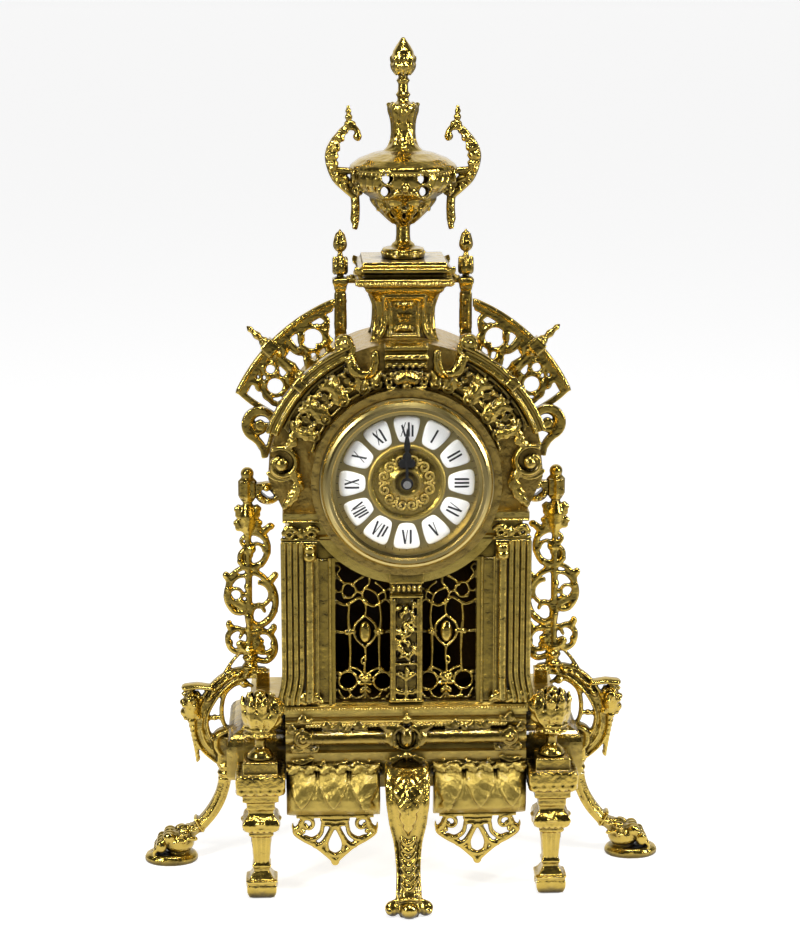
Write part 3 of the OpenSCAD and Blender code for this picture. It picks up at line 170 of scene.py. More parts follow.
# ------------------------------------------------------------------ base block
# The bowed base block, one hollow sand casting in brass with a breakfront, a fat roll and a
# rope bead. Its ridges are lighter from polish and painted highlight; its hollows are brown from patina and
# painted shade.


def mixed(tree, share, a, b):
    """A mix of two colours inside a node tree; each is a colour or what feeds it."""
    node = add(tree, "ShaderNodeMix", {"Factor": share}, data_type="RGBA")
    slots = [n for n, socket in enumerate(node.inputs) if socket.type == "RGBA"]
    fill(tree, node,
        {n: c if isinstance(c, bpy.types.NodeSocket) else (*c, 1) for n, c in zip(slots, (a, b))})
    return next(socket for socket in node.outputs if socket.type == "RGBA")


def brass_finish(name, high, low, rough, grain=420.0, hollow=0.009, pits=0.22, shade_and_wear=(0.68, 1.26), wave=0.85,
        coat=0.5):
    """Cast brass: lighter on its ridges from wear and painted highlight; brown and dull where dirt and
    patina gather and where painted shade falls in its hollows.
    """
    made, tree, metal = new_finish(name)
    place = place_of(tree)
    dirt, sand, swell = (
        add(tree, "ShaderNodeTexNoise", {"Vector": place, "Scale": scale, "Detail": 4}).outputs[0]
        for scale in (grain * 0.2, grain, 130.0))
    # painted shade: ambient occlusion, with a little dirt noise, mixes the dark colour into hollows and
    # contacts
    shade = add(tree, "ShaderNodeAmbientOcclusion", {"Distance": hollow}, samples=6).outputs["AO"]
    unshaded_and_clean = ramp(tree, sums(tree, "MULTIPLY_ADD", dirt, 0.45, shade), *shade_and_wear, 0, 1)
    # painted highlight: ridges take a lighter colour, partly real wear and partly painted highlight
    ridge = ramp(tree, add(tree, "ShaderNodeNewGeometry").outputs["Pointiness"], 0.5, 0.6, 0, 0.8)
    worn_edge_highlight = (min(1, high[0] * 1.5), min(1, high[1] * 1.6), high[2] * 2.2)
    gloss = ramp(tree, unshaded_and_clean, 0, 1, 0.4, rough, smooth=False)
    # a casting is never quite flat, and its skin keeps the grain of the sand
    uneven = add(tree, "ShaderNodeBump", {"Strength": wave, "Distance": 0.0016, "Height": swell})
    grained = add(tree, "ShaderNodeBump",
        {"Strength": pits, "Distance": 0.0006, "Height": sand, "Normal": uneven.outputs[0]})
    fill(tree, metal,
        {"Metallic": 1.0, "Coat Weight": coat, "Coat Roughness": 0.1,
            "Base Color": mixed(tree, ridge, mixed(tree, unshaded_and_clean, low, high), worn_edge_highlight),
            "Roughness": sums(tree, "MULTIPLY_ADD", sand, 0.1, gloss), "Normal": grained.outputs[0]})
    return made


cast_brass = brass_finish("cast_brass", (0.58, 0.405, 0.070), (0.016, 0.009, 0.0012), 0.11)


def dress(node, finish):
    """Gives a CAD node's object one finish."""
    mesh = nodes[node].data
    mesh.materials.clear()
    mesh.materials.append(finish)


for name in nodes:
    dress(name, cast_brass)
# more of the dark colour reaches its hollows: patina and painted shade
base_brass = brass_finish("base_brass", (0.50, 0.34, 0.058), (0.012, 0.007, 0.001), 0.11, hollow=0.011,
    shade_and_wear=(0.92, 1.4), wave=0.6)
dress("base_block", base_brass)

# ------------------------------------------------------------------ mouldings of the base
# A rope bead, two fat rolls with rosette ends and an egg boss in leaves cross the block's front.
# They were modelled with the block and cast with it; the bead is milled.
MM = 0.001                                                     # the drawings are in millimetres


def face_outwards(mesh):
    """Turns every face of a closed mesh outwards."""
    form = bmesh.new()
    form.from_mesh(mesh)
    bmesh.ops.recalc_face_normals(form, faces=form.faces)
    form.to_mesh(mesh)
    form.free()


def settle(piece, edge=None):
    """Applies the live modifiers and turns every face outwards."""
    made = bpy.data.meshes.new_from_object(piece.evaluated_get(bpy.context.evaluated_depsgraph_get()))
    finish = list(piece.data.materials)
    piece.modifiers.clear()
    piece.data = made
    made.name = piece.name
    made.materials.clear()
    for f in finish:
        made.materials.append(f)
    face_outwards(made)
    made.polygons.foreach_set("use_smooth", [True] * len(made.polygons))
    made.polygons.foreach_set("material_index", [0] * len(made.polygons))
    if edge:
        made.set_sharp_from_angle(angle=radians(edge))
    return piece


def new_tree(name, **inputs):
    """A geometry tree with its named inputs, in millimetres and degrees."""
    tree = bpy.data.node_groups.new(name, "GeometryNodeTree")
    tree.interface.new_socket("Geometry", in_out="OUTPUT", socket_type="NodeSocketGeometry")
    for label, value in inputs.items():
        kind = {int: "NodeSocketInt", float: "NodeSocketFloat", tuple: "NodeSocketVector"}[type(value)]
        tree.interface.new_socket(label, in_out="INPUT", socket_type=kind).default_value = value
    tree.interface.new_socket("Finish", in_out="INPUT", socket_type="NodeSocketMaterial")
    return tree, tree.nodes.new("NodeGroupInput").outputs


def close_tree(tree, shape, given):
    """Ends a tree: instances made real, in metres, with the finish set."""
    small = add(tree, "GeometryNodeTransform", {"Geometry": shape, "Scale": (MM, MM, MM)})
    real = add(tree, "GeometryNodeRealizeInstances", {0: small.outputs[0]})
    done = add(tree, "GeometryNodeSetMaterial", {"Geometry": real.outputs[0], "Material": given["Finish"]})
    tree.links.new(done.outputs[0], tree.nodes.new("NodeGroupOutput").inputs[0])
    return tree


def set_out(name, tree, finish, body="case", slot="cast_brass", edge=50, **sizes):
    """Runs a tree with its sizes and keeps the result as a plain mesh on a body."""
    piece = bpy.data.objects.new(name, bpy.data.meshes.new(name))
    piece.data.materials.append(finish)
    show(piece)
    run = piece.modifiers.new("set_out", "NODES")
    run.node_group = tree
    known = {s.name: s.identifier for s in tree.interface.items_tree if s.in_out == "INPUT"}
    run[known["Finish"]] = finish
    for label, value in sizes.items():
        run[known[label]] = value
    settle(piece, edge)
    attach(piece, body)
    return piece


# a straight row of beads or eggs
bead_row, given = new_tree("bead_row", Start=(0.0, 0.0, 0.0), End=(10.0, 0.0, 0.0), Count=10,
    Bead=(1.0, 1.0, 1.0), Lean=0.0)
line = add(bead_row, "GeometryNodeMeshLine",
    {"Count": given["Count"], "Start Location": given["Start"], "Offset": given["End"]}, mode="END_POINTS")
ball = add(bead_row, "GeometryNodeMeshUVSphere", {"Segments": 8, "Rings": 5, "Radius": 1.0})
lean = sums(bead_row, "MULTIPLY", given["Lean"], pi / 180)
turned = add(bead_row, "ShaderNodeCombineXYZ", {"Y": lean})
each = add(bead_row, "GeometryNodeInstanceOnPoints",
    {"Points": line.outputs[0], "Instance": ball.outputs[0], "Rotation": turned.outputs[0],
        "Scale": given["Bead"]})
close_tree(bead_row, each.outputs[0], given)

# a ring or an arc of beads or bars, each turned to its centre
bead_ring, given = new_tree("bead_ring", Centre=(0.0, 0.0, 0.0), Tilt=90.0, Radius=10.0, From=0.0,
    Sweep=360.0, Count=12, Bead=(1.0, 1.0, 1.0), Square=0)
points = add(bead_ring, "GeometryNodePoints", {"Count": given["Count"]})
share = sums(bead_ring, "DIVIDE", add(bead_ring, "GeometryNodeInputIndex").outputs[0], given["Count"])
angle = sums(bead_ring, "MULTIPLY_ADD", share, given["Sweep"], given["From"])
angle = sums(bead_ring, "MULTIPLY", angle, pi / 180)
ends = [sums(bead_ring, "MULTIPLY", sums(bead_ring, kind, angle), given["Radius"])
    for kind in ("COSINE", "SINE")]
spot = add(bead_ring, "ShaderNodeCombineXYZ", {"X": ends[0], "Y": ends[1]})
laid = add(bead_ring, "GeometryNodeSetPosition",
    {"Geometry": points.outputs[0], "Position": spot.outputs[0]})
spin = add(bead_ring, "ShaderNodeCombineXYZ", {"Z": angle})
ball = add(bead_ring, "GeometryNodeMeshUVSphere", {"Segments": 8, "Rings": 5, "Radius": 1.0})
block = add(bead_ring, "GeometryNodeMeshCube", {"Size": (2.0, 2.0, 2.0)})
squared = add(bead_ring, "FunctionNodeCompare", {2: given["Square"], 3: 0}, data_type="INT",
    operation="GREATER_THAN")
pick = add(bead_ring, "GeometryNodeSwitch",
    {"Switch": squared.outputs[0], "False": ball.outputs[0], "True": block.outputs[0]},
    input_type="GEOMETRY")
each = add(bead_ring, "GeometryNodeInstanceOnPoints",
    {"Points": laid.outputs[0], "Instance": pick.outputs[0], "Rotation": spin.outputs[0],
        "Scale": given["Bead"]})
tip = sums(bead_ring, "MULTIPLY", given["Tilt"], pi / 180)
stand = add(bead_ring, "ShaderNodeCombineXYZ", {"X": tip})
placed = add(bead_ring, "GeometryNodeTransform",
    {"Geometry": each.outputs[0], "Translation": given["Centre"], "Rotation": stand.outputs[0]})
close_tree(bead_ring, placed.outputs[0], given)

set_out("rope_bead", bead_row, cast_brass, Start=(-66.0, -29.4, 119.2), End=(66.0, -29.4, 119.2), Count=64,
    Bead=(1.5, 1.7, 2.0), Lean=32.0)
set_out("milled_foot_bead", bead_row, cast_brass, Start=(-79.0, -29.6, 130.6), End=(79.0, -29.6, 130.6),
    Count=84, Bead=(0.9, 0.9, 1.1), Lean=0.0)


def skin(rings):
    """A closed shape over rings of points: quads between them and a cap at each end."""
    rings = np.asarray(rings, float)
    rows, across = rings.shape[:2]
    faces = [[i * across + j, i * across + (j + 1) % across, (i + 1) * across + (j + 1) % across,
            (i + 1) * across + j] for i in range(rows - 1) for j in range(across)]
    return rings.reshape(-1, 3), faces + [
        list(range(across))[::-1],
        list(range((rows - 1) * across, rows * across))]


def smooth_path(points, steps=8, shut=False):
    """A smooth run through a few points."""
    p = np.asarray(points, float)
    p = np.vstack([p[-1:], p, p[:2]]) if shut else np.vstack([2 * p[:1] - p[1:2], p, 2 * p[-1:] - p[-2:-1]])
    t = np.linspace(0, 1, steps, endpoint=False)[:, None]
    runs = []
    for a, b, c, d in zip(p, p[1:], p[2:], p[3:]):
        line = 2 * b + (c - a) * t
        runs.append(0.5 * (line + (2 * a - 5 * b + 4 * c - d) * t ** 2 + (3 * b - a - 3 * c + d) * t ** 3))
    return np.vstack(runs if shut else runs + [p[-2:-1]])


def even_out(values, count):
    """Spreads a short list of sizes over a run of count points."""
    return np.interp(np.linspace(0, 1, count), np.linspace(0, 1, len(values)), values)


def strand(path, wide, deep=None, sides=10, face=(0, -1, 0), round_ends=True):
    """A scroll's bar along a path, wide across the face and deep behind it."""
    path = np.asarray(path, float)
    wide = even_out(np.atleast_1d(wide), len(path))
    deep = wide if deep is None else even_out(np.atleast_1d(deep), len(path))
    way = np.gradient(path, axis=0)
    way /= np.linalg.norm(way, axis=1)[:, None] + 1e-9
    side = np.cross(way, np.asarray(face, float))
    side /= np.linalg.norm(side, axis=1)[:, None] + 1e-9
    up = np.cross(side, way)
    if round_ends:
        for end, outward, angles in ((0, -1, (1.25, 0.7)), (-1, 1, (0.7, 1.25))):
            tips = np.array([path[end] + way[end] * outward * wide[end] * sin(a) for a in angles])
            small = np.array([cos(a) for a in angles])
            more = (tips, small * wide[end], small * deep[end], *([v[end]] * 2 for v in (way, side, up)))
            runs = zip((path, wide, deep, way, side, up), more)
            joined = [(new, run) if end == 0 else (run, new) for run, new in runs]
            path, wide, deep, way, side, up = (np.concatenate(pair) for pair in joined)
    turn = np.linspace(0, 2 * np.pi, sides, endpoint=False)
    across = side[:, None] * (wide[:, None] * np.cos(turn))[..., None]
    behind = up[:, None] * (deep[:, None] * np.sin(turn))[..., None]
    return skin(path[:, None] + across + behind)


def orb(at, size, sides=14, rows=8):
    """A ball or an egg."""
    size = np.ones(3) * size
    lift = np.linspace(-np.pi / 2, np.pi / 2, rows + 2)[1:-1]
    turn = np.linspace(0, 2 * np.pi, sides, endpoint=False)
    rings = [
        [(at[0] + size[0] * cos(a) * cos(b), at[1] + size[1] * cos(a) * sin(b), at[2] + size[2] * sin(a))
            for b in turn] for a in lift]
    return skin(rings)


def turning(at, profile, sides=48, flutes=0, depth=0.0, way="z"):
    """A turned or fluted form: profile is radius and place along the axis."""
    turn = np.linspace(0, 2 * np.pi, sides, endpoint=False)
    rings = []
    for row in profile:
        r, h = row[0], row[1]
        cut = depth * (row[2] if len(row) > 2 else 0)
        rr = r - cut * (0.5 - 0.5 * np.cos(flutes * turn)) if flutes else r + 0 * turn
        if way == "z":
            rings.append(np.stack(
                [at[0] + rr * np.cos(turn), at[1] + rr * np.sin(turn), at[2] + h + 0 * turn], 1))
        else:
            rings.append(np.stack(
                [at[0] + rr * np.cos(turn), at[1] + h + 0 * turn, at[2] + rr * np.sin(turn)], 1))
    return skin(rings)


def leaf(path, wide, lobes=4, thick=1.2, rise=2.0, curl=0.0, face=(0, -1, 0), sharp=0.35, n=40, m=17,
        tip=0.0):
    """An acanthus leaf in relief: a lobed outline, a midrib and fluted lobes along a path."""
    path = smooth_path(path, max(2, n // max(1, len(path) - 1)))
    count = len(path)
    u = np.linspace(0, 1, count)
    body = even_out(np.atleast_1d(wide), count)
    notch = 1 - sharp * (1 - np.abs(np.sin(np.pi * (lobes * u + 0.15))) ** 0.6)
    body = body * notch * np.minimum(1, (1 - u) * 6 + 0.08 + tip) * np.minimum(1, u * 8 + 0.35)
    way = np.gradient(path, axis=0)
    way /= np.linalg.norm(way, axis=1)[:, None] + 1e-9
    side = np.cross(way, np.asarray(face, float))
    side /= np.linalg.norm(side, axis=1)[:, None] + 1e-9
    up = np.cross(side, way)
    v = np.linspace(-1, 1, m)
    slant = u[:, None] - 0.16 * np.abs(v)[None]
    flute = 0.5 + 0.5 * np.cos(2 * np.pi * (2 * lobes * slant + 0.3)) * np.abs(v)[None] ** 0.5
    rib = np.exp(-(v / 0.13) ** 2)[None]
    high = rise * (0.25 + 0.75 * (1 - np.abs(v)[None] ** 2.2)) * (0.62 + 0.38 * flute) + 0.35 * rise * rib
    high = high * np.minimum(1, (1 - u) * 5 + 0.25)[:, None] - curl * (u[:, None] ** 3)
    lean = 0.10 * np.abs(v)[None] * body[:, None]
    front = (path[:, None] + side[:, None] * (v[None] * body[:,
            None])[..., None] + up[:, None] * high[..., None] + way[:, None] * lean[..., None])
    back = front - up[:, None] * (thick + np.maximum(high, 0) * 0.9)[..., None]
    return skin(np.concatenate([front, back[:, ::-1]], 1))


def coil(at, r0, r1, a0, a1, y=0.0, steps=26):
    """Points of a spiral in a plane that faces the front: angles in degrees from the right."""
    a = np.radians(np.linspace(a0, a1, steps))
    r = np.linspace(r0, r1, steps)
    return np.stack([at[0] + r * np.cos(a), y + 0 * a, at[1] + r * np.sin(a)], 1)


def finish_mesh(name, points, faces, finish):
    """A new mesh object from millimetres, in one finish."""
    mesh = bpy.data.meshes.new(name)
    mesh.from_pydata((np.asarray(points) * MM).tolist(), [], [list(f) for f in faces])
    mesh.validate()
    mesh.materials.append(finish)
    piece = bpy.data.objects.new(name, mesh)
    show(piece)
    return piece


def gather(shapes):
    """Puts several shapes into one list of points and one of faces."""
    points, faces, base = [], [], 0
    for p, f in shapes:
        points.append(np.asarray(p, float))
        faces += [[base + i for i in g] for g in f]
        base += len(p)
    return np.vstack(points), faces


def cast(name, shapes, finish, grain=0.8, ease=3, of=(), body="case", mirror=None,
        merge=True, cuts=()):
    """Casts shapes in one piece: they run together at the size of the grain and their edges soften.
    The piece stands for the solids named in of, and with merge they are part of it. mirror names a
    mirrored twin and the solids it stands for; cuts are shapes bored out of the piece."""
    points, faces = gather(shapes)
    points, base = [points], len(points)
    for node in of if merge else ():
        mesh = nodes[node].data
        raw = np.empty(len(mesh.vertices) * 3)
        mesh.vertices.foreach_get("co", raw)
        points.append(raw.reshape(-1, 3) * 1000)
        faces += [[base + i for i in p.vertices] for p in mesh.polygons]
        base += len(mesh.vertices)
    piece = finish_mesh(name, np.vstack(points), faces, finish)
    melt = piece.modifiers.new("melt", "REMESH")
    melt.mode = "VOXEL"
    melt.voxel_size = grain * MM
    if cuts:
        drill = finish_mesh(name + "_drill", *gather(cuts), finish)
        face_outwards(drill.data)
        bore = piece.modifiers.new("bore", "BOOLEAN")
        bore.object, bore.operation, bore.solver = drill, "DIFFERENCE", "EXACT"
    if ease:
        rub = piece.modifiers.new("rub", "SMOOTH")
        rub.factor, rub.iterations = 0.5, ease
    settle(piece)
    if cuts:
        bpy.data.meshes.remove(drill.data)
    made = [(piece, of)]
    if mirror:
        other, twins = mirror
        co = np.empty(len(piece.data.vertices) * 3)
        piece.data.vertices.foreach_get("co", co)
        co = co.reshape(-1, 3) * (-1, 1, 1)
        twin = bpy.data.objects.new(other, piece.data.copy())
        twin.data.name = other
        twin.data.vertices.foreach_set("co", co.ravel())
        show(twin)
        face_outwards(twin.data)
        made.append((twin, twins))
    for thing, replaced in made:
        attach(thing, body)
        if replaced:
            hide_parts(*replaced)
    return piece


def base_rolls():
    shapes = []
    for s in (-1, 1):
        run = [(s * x, -29.5, 111) for x in np.linspace(11, 66, 12)]
        shapes += [
            strand(run, 5.3, 5.6, sides=20, round_ends=False),
            turning((s * 69, -28, 111),
                [(6.4, 0), (6.4, -4.6), (5.6, -6), (4.2, -6), (3.8, -5), (2.6, -7.4), (1.2, -8.2)], 24,
                way="y"),
            orb((s * 12.5, -29.5, 111), (2.2, 6.4, 6.2)),
            orb((s * 62.6, -29.5, 111), (1.4, 6.1, 5.9)),
            strand(coil((s * 18.5, 88.4), 4.6, 1, 90, 90 - s * 520, -31.6, 40), [1.2, 1.4, 1], 2.6),
            orb((s * 18.5, -33, 88.4), (1.8, 1.8, 1.8)),
            leaf([(s * 3, -34, 99), (s * 9, -35, 95), (s * 13.5, -33, 90)], [2.4, 4, 2], 3, 1, 1.8, n=22,
                m=11),
            leaf([(s * 23, -31.5, 88), (s * 32, -32.5, 91.6), (s * 42, -31, 89.4)], [2.4, 3.8, 1.4], 4, 1,
                1.6, n=30, m=11),
            leaf([(s * 40, -31.5, 94), (s * 50, -32.5, 90.8), (s * 60, -31, 93)], [1.6, 3.2, 1.4], 4, 1,
                1.5, n=30, m=11),
            leaf([(s * 2, -33, 119), (s * 8, -34, 117.4), (s * 14, -33.5, 118.6), (s * 20, -31.5, 122)],
                [2, 3.6, 3, 1], 4, 1, 1.6, n=30, m=11),
            leaf([(s * 5, -34, 104), (s * 9.2, -35.5, 108), (s * 9.4, -35, 114), (s * 5, -34, 119)],
                [1.6, 2.6, 2.6, 1.2], 4, 1, 1.5, n=30, m=11),
            leaf([(s * 62, -31, 97), (s * 70, -32, 94), (s * 78, -31, 96)], [2, 3.4, 1.4], 3, 1, 1.6, n=24,
                m=11)]
        for k in range(6):
            shapes.append(orb((s * (25 + 7.6 * k), -30.4, 94.5 - 1.4 * (k % 2)), (1.5, 1.5, 1.5), 8, 5))
        for x, z, turn in ((70, 124, 1), (76, 117, -1), (66, 104, -1), (75, 104, 1), (54, 119.4, 1),
                (44, 118.6, -1), (33, 119.4, 1)):
            y = -30.6 if z > 112 else -31
            shapes += [
                strand(coil((s * x, z), 3.2, 0.8, 90, 90 + s * turn * 470, y, 26), [1, 1.3, 0.8], 1.6),
                orb((s * x, y - 1.2, z), (1.2, 1.2, 1.2), 8, 5),
                leaf([(s * (x - 2), y, z - 2.6), (s * (x - 5.4), y - 1.2, z - 1),
                        (s * (x - 8), y - 0.4, z + 1.8)], [1.4, 2.6, 0.9], 3, 0.9, 1.4, n=18, m=9)]
    shapes += [
        orb((0, -32.5, 111.4), (5, 4.6, 7.4), 20, 12),
        strand([(7.4 * cos(t), -30.6, 111.4 + 9.6 * sin(t)) for t in np.linspace(0, 2 * pi, 30)], 1.2, 2,
            round_ends=False),
        leaf([(0, -31.5, 128), (0, -34, 124.6), (0, -34, 121)], [2.2, 3.6, 1.6], 3, 1, 1.6, n=20, m=11),
        leaf([(0, -33, 95), (0, -35.5, 99), (0, -34.5, 102.6)], [2.6, 4, 1.8], 3, 1, 1.6, n=20, m=11)]
    return shapes


cast("base_rolls_cast", base_rolls(), base_brass, grain=0.7, ease=2)

# ------------------------------------------------------------------ paw legs and side brackets
# The rear feet: a lion's paw on an oval pad, a fluted leg, a leaf-wrapped scroll that ends in a
# beast's head, and the band that carries the spindle. Each is one brass casting, pinned to the block.


def slab(outline, y0, y1):
    """A flat plate cut to a drawing of x and z, from y0 to y1."""
    o = np.asarray(outline, float)
    return skin([np.stack([o[:, 0], y + 0 * o[:, 0], o[:, 1]], 1) for y in (y0, y1)])


def flat(points, y=0.0):
    """Puts a drawing of x and z into the plane y."""
    p = np.asarray(points, float)
    return np.stack([p[:, 0], y + 0 * p[:, 0], p[:, 1]], 1) if p.shape[1] == 2 else p


def paw_bracket():
    y = 35
    shank = smooth_path(flat([(148, 21), (140.5, 27), (133, 36), (127.5, 46), (124.6, 55), (123.5, 62)], y))
    shapes = [
        strand(shank, [4.6, 4.8, 4.8, 4.6, 4.6, 4.8], [5, 5.2, 4.8, 4.6, 4.8, 5]),
        turning((122.8, y, 57), [(4.6, 2), (6.2, 3), (5.2, 5), (6.4, 7.5), (5, 10), (6.6, 13), (4.6, 16)],
            20),
        strand(smooth_path(flat([(139.5, 22.5), (142, 26.5), (144.6, 31)], y)), [1.6, 2, 1.6], 6.4)]
    way = np.gradient(shank, axis=0)
    way /= np.linalg.norm(way, axis=1)[:, None]
    for lift in (-3.2, 0, 3.2):                                   # the flutes of the shank
        for out in (-1, 1):
            edge = shank[5:-2] + np.cross(way, (0, 1, 0))[5:-2] * lift + np.array([0,
                out * (4.7 - abs(lift) * 0.35), 0])
            shapes.append(strand(edge, [1.0, 1.2, 1.0]))
    pad = [(162 + 18.6 * cos(a), y + 13.6 * sin(a)) for a in np.linspace(0, 2 * pi, 40)[:-1]]
    tiers = ((0.96, 0), (1, 1.2), (1, 3.6), (0.92, 5.8), (0.8, 6.6))
    shapes.append(skin([[(162 + (px - 162) * k, y + (py - y) * k, z) for px, py in pad] for k, z in tiers]))
    # the paw: a clenched lump of toes and claws, with fur combed back to the cuff
    shapes += [orb((156.5, y, 13.5), (11, 10.5, 8.5)), orb((151, y, 19), (6.5, 7.5, 6))]
    for spread in (-8.6, -2.9, 2.9, 8.6):
        shapes += [
            orb((163, y + spread * 0.8, 18.6), (4.6, 3, 4.4)),
            orb((168.4, y + spread, 13.2), (4, 2.9, 4.8)),
            strand(smooth_path([(170.6, y + spread, 12.4), (173.4, y + spread, 8.6), (173, y + spread, 5)]),
                [2, 1.5, 0.6])]
    rng = np.random.default_rng(3)
    for k in range(34):
        a, u = rng.uniform(-1.4, 1.4), rng.uniform(143.5, 160)
        r = 7.4 + 2.4 * sin(max(0, (u - 143)) / 14 * 2.4)
        base = (u, y + r * sin(a), 14 + (r + 0.6) * cos(a) * 0.95)
        shapes.append(leaf([base, (base[0] - 2.4, base[1] + 0.6 * sin(a), base[2] + 1.4 * cos(a) + 0.4),
                (base[0] - 4.6, base[1], base[2] + 1.2 * cos(a))], [1.2, 2, 0.7], 2, 1, 1.6,
            face=(0, sin(a), cos(a)), n=12, m=7))
    # the broad C-scroll: a web between two raised rims
    belly = smooth_path(flat(
        [(120.5, 70), (128, 76.5), (135.6, 85), (139.4, 96), (138.4, 107.5), (133.4, 118.6), (126.4, 127.6),
            (117, 134.6), (105, 137), (95, 136.6)], y))
    along = np.gradient(belly, axis=0)
    along /= np.linalg.norm(along, axis=1)[:, None]
    across = np.cross(along, (0, 1, 0))
    spread = even_out([2.8, 4.2, 5, 4.6, 3.8, 4.2, 4.4, 3.8, 3.2, 2.8], len(belly))[:, None]
    shapes += [
        strand(belly, [3, 4.4, 5, 4.6, 4, 4.2, 4.2, 3.6], 1.8),
        strand(belly + across * spread, 1.25, 3.6),
        strand(belly - across * spread, 1.25, 3.6),
        strand(smooth_path(flat([(129, 77.5), (136.6, 87), (139.2, 98), (136.6, 110)], y)),
            [0.5, 1.0, 1.1, 0.5], 2.8)]
    for k in range(8):                                            # leaf tips laid in the upper band
        c = belly[int(len(belly) * (0.56 + 0.052 * k))]
        for out in (-1, 1):
            shapes.append(leaf([(c[0] + 2, y + out * 2, c[2] - 1.6), (c[0], y + out * 3.2, c[2] + 0.4),
                    (c[0] - 3, y + out * 2, c[2] + 1.8)], [1, 1.9, 0.7], 2, 0.9, 1.3, face=(0, out, 0),
                n=12, m=7))
    shapes += [
        strand(smooth_path(flat([(111, 151.5), (117, 145), (122, 137)], y)), [1.0, 1.3, 1.6], 2),
        strand(coil((103.6, 143), 4.4, 1.4, -60, 320, y), [1.5, 1.3], 3)]
    # the slender ring inside it, its knots and links
    ring = smooth_path(flat(
        [(104, 127), (110, 129.4), (116.6, 127.6), (122.6, 121.6), (125, 112), (124.4, 102), (120.8, 95),
            (117.6, 91.4)], y))
    shapes += [
        strand(ring, [1.4, 1.6, 1.7, 1.7, 1.7, 1.5, 1.6], 2.2),
        orb((109, y, 128.6), (3.4, 3.4, 3.2)),
        orb((120.4, y, 93.6), (2.8, 3, 2.6)),
        strand(flat([(122.6, 122), (126, 124.6), (129, 125.6)], y), [1.3, 1.7, 1.6], 2),
        strand(flat([(124.8, 104), (130, 104.6), (135.4, 103.4)], y), [1.2, 1.8, 1.6], 2),
        strand(flat([(120, 93), (125, 88.4), (131, 83)], y), [1.4, 1.5, 1.6], 2),
        orb((130, y, 104.4), (2.3, 2.6, 2.3)),
        slab([(91.5, 127.2), (101, 127.2), (101, 138), (91.5, 138)], y - 5, y + 5),
        slab([(120.6, 70), (128.4, 72), (128.4, 90), (120.6, 91)], y - 4.6, y + 4.6),
        strand(smooth_path(flat([(121, 96), (128, 92), (129, 84), (125.6, 78)], y)), [2.6, 3.4, 3.4, 2.4],
            6)]
    # the beast's head under its flat cap, with curls and a hanging beard
    shapes += [
        strand(flat([(150.2, 126.6), (142, 127.6), (131.6, 126.4)], y), [2.5, 2.4, 2], 5.6),
        orb((145.4, y, 114), (6.4, 6.6, 11)),
        orb((150.4, y, 108.6), (3.4, 3.6, 3.6)),
        orb((149.6, y, 116), (2.6, 3, 2.4))]
    for k in range(40):
        a, lift = rng.uniform(0, 2 * pi), rng.uniform(-1, 1)
        r = sqrt(max(0.05, 1 - lift ** 2))
        spot = (145.8 + 6.4 * r * cos(a), y + 6.4 * r * sin(a), 113.5 + 11.8 * lift)
        shapes.append(orb(spot, tuple(rng.uniform(1.6, 2.7, 3)), 8, 5))
    for k in range(9):
        z = 102 - 3.4 * k
        x, big = 145.6 - 0.45 * k, 3.4 - 0.24 * k
        shapes.append(orb((x, y, z), (big, big, 2.4), 10, 6))
        for out in (-1, 1):
            shapes.append(leaf(
                [(x - 1, y + out * 1, z + 1.6), (x, y + out * (big - 0.3), z), (x + 1, y + out * 1, z - 3)],
                [1, 1.8, 0.6], 2, 0.8, 1.1, face=(0, out, 0), n=12, m=7))
    shapes.append(strand(flat([(140, 97), (137, 93), (135, 88)], y), [2, 1.6, 1.6], 2.2))
    return [(np.clip(p, (90.9, 21.9, 0), (181, 48.1, 300)), f) for p, f in shapes]


cast("right_paw_bracket_cast", paw_bracket(), cast_brass, of=("right_paw_bracket",), merge=False, grain=0.7,
    ease=2, mirror=("left_paw_bracket_cast", ("left_paw_bracket",)))

# ------------------------------------------------------------------ side spindles and their arms
# Baluster spindles with leafy C-scrolls on both sides, screwed down on the brackets and held
# at the top by a scrolled arm. Cast brass.


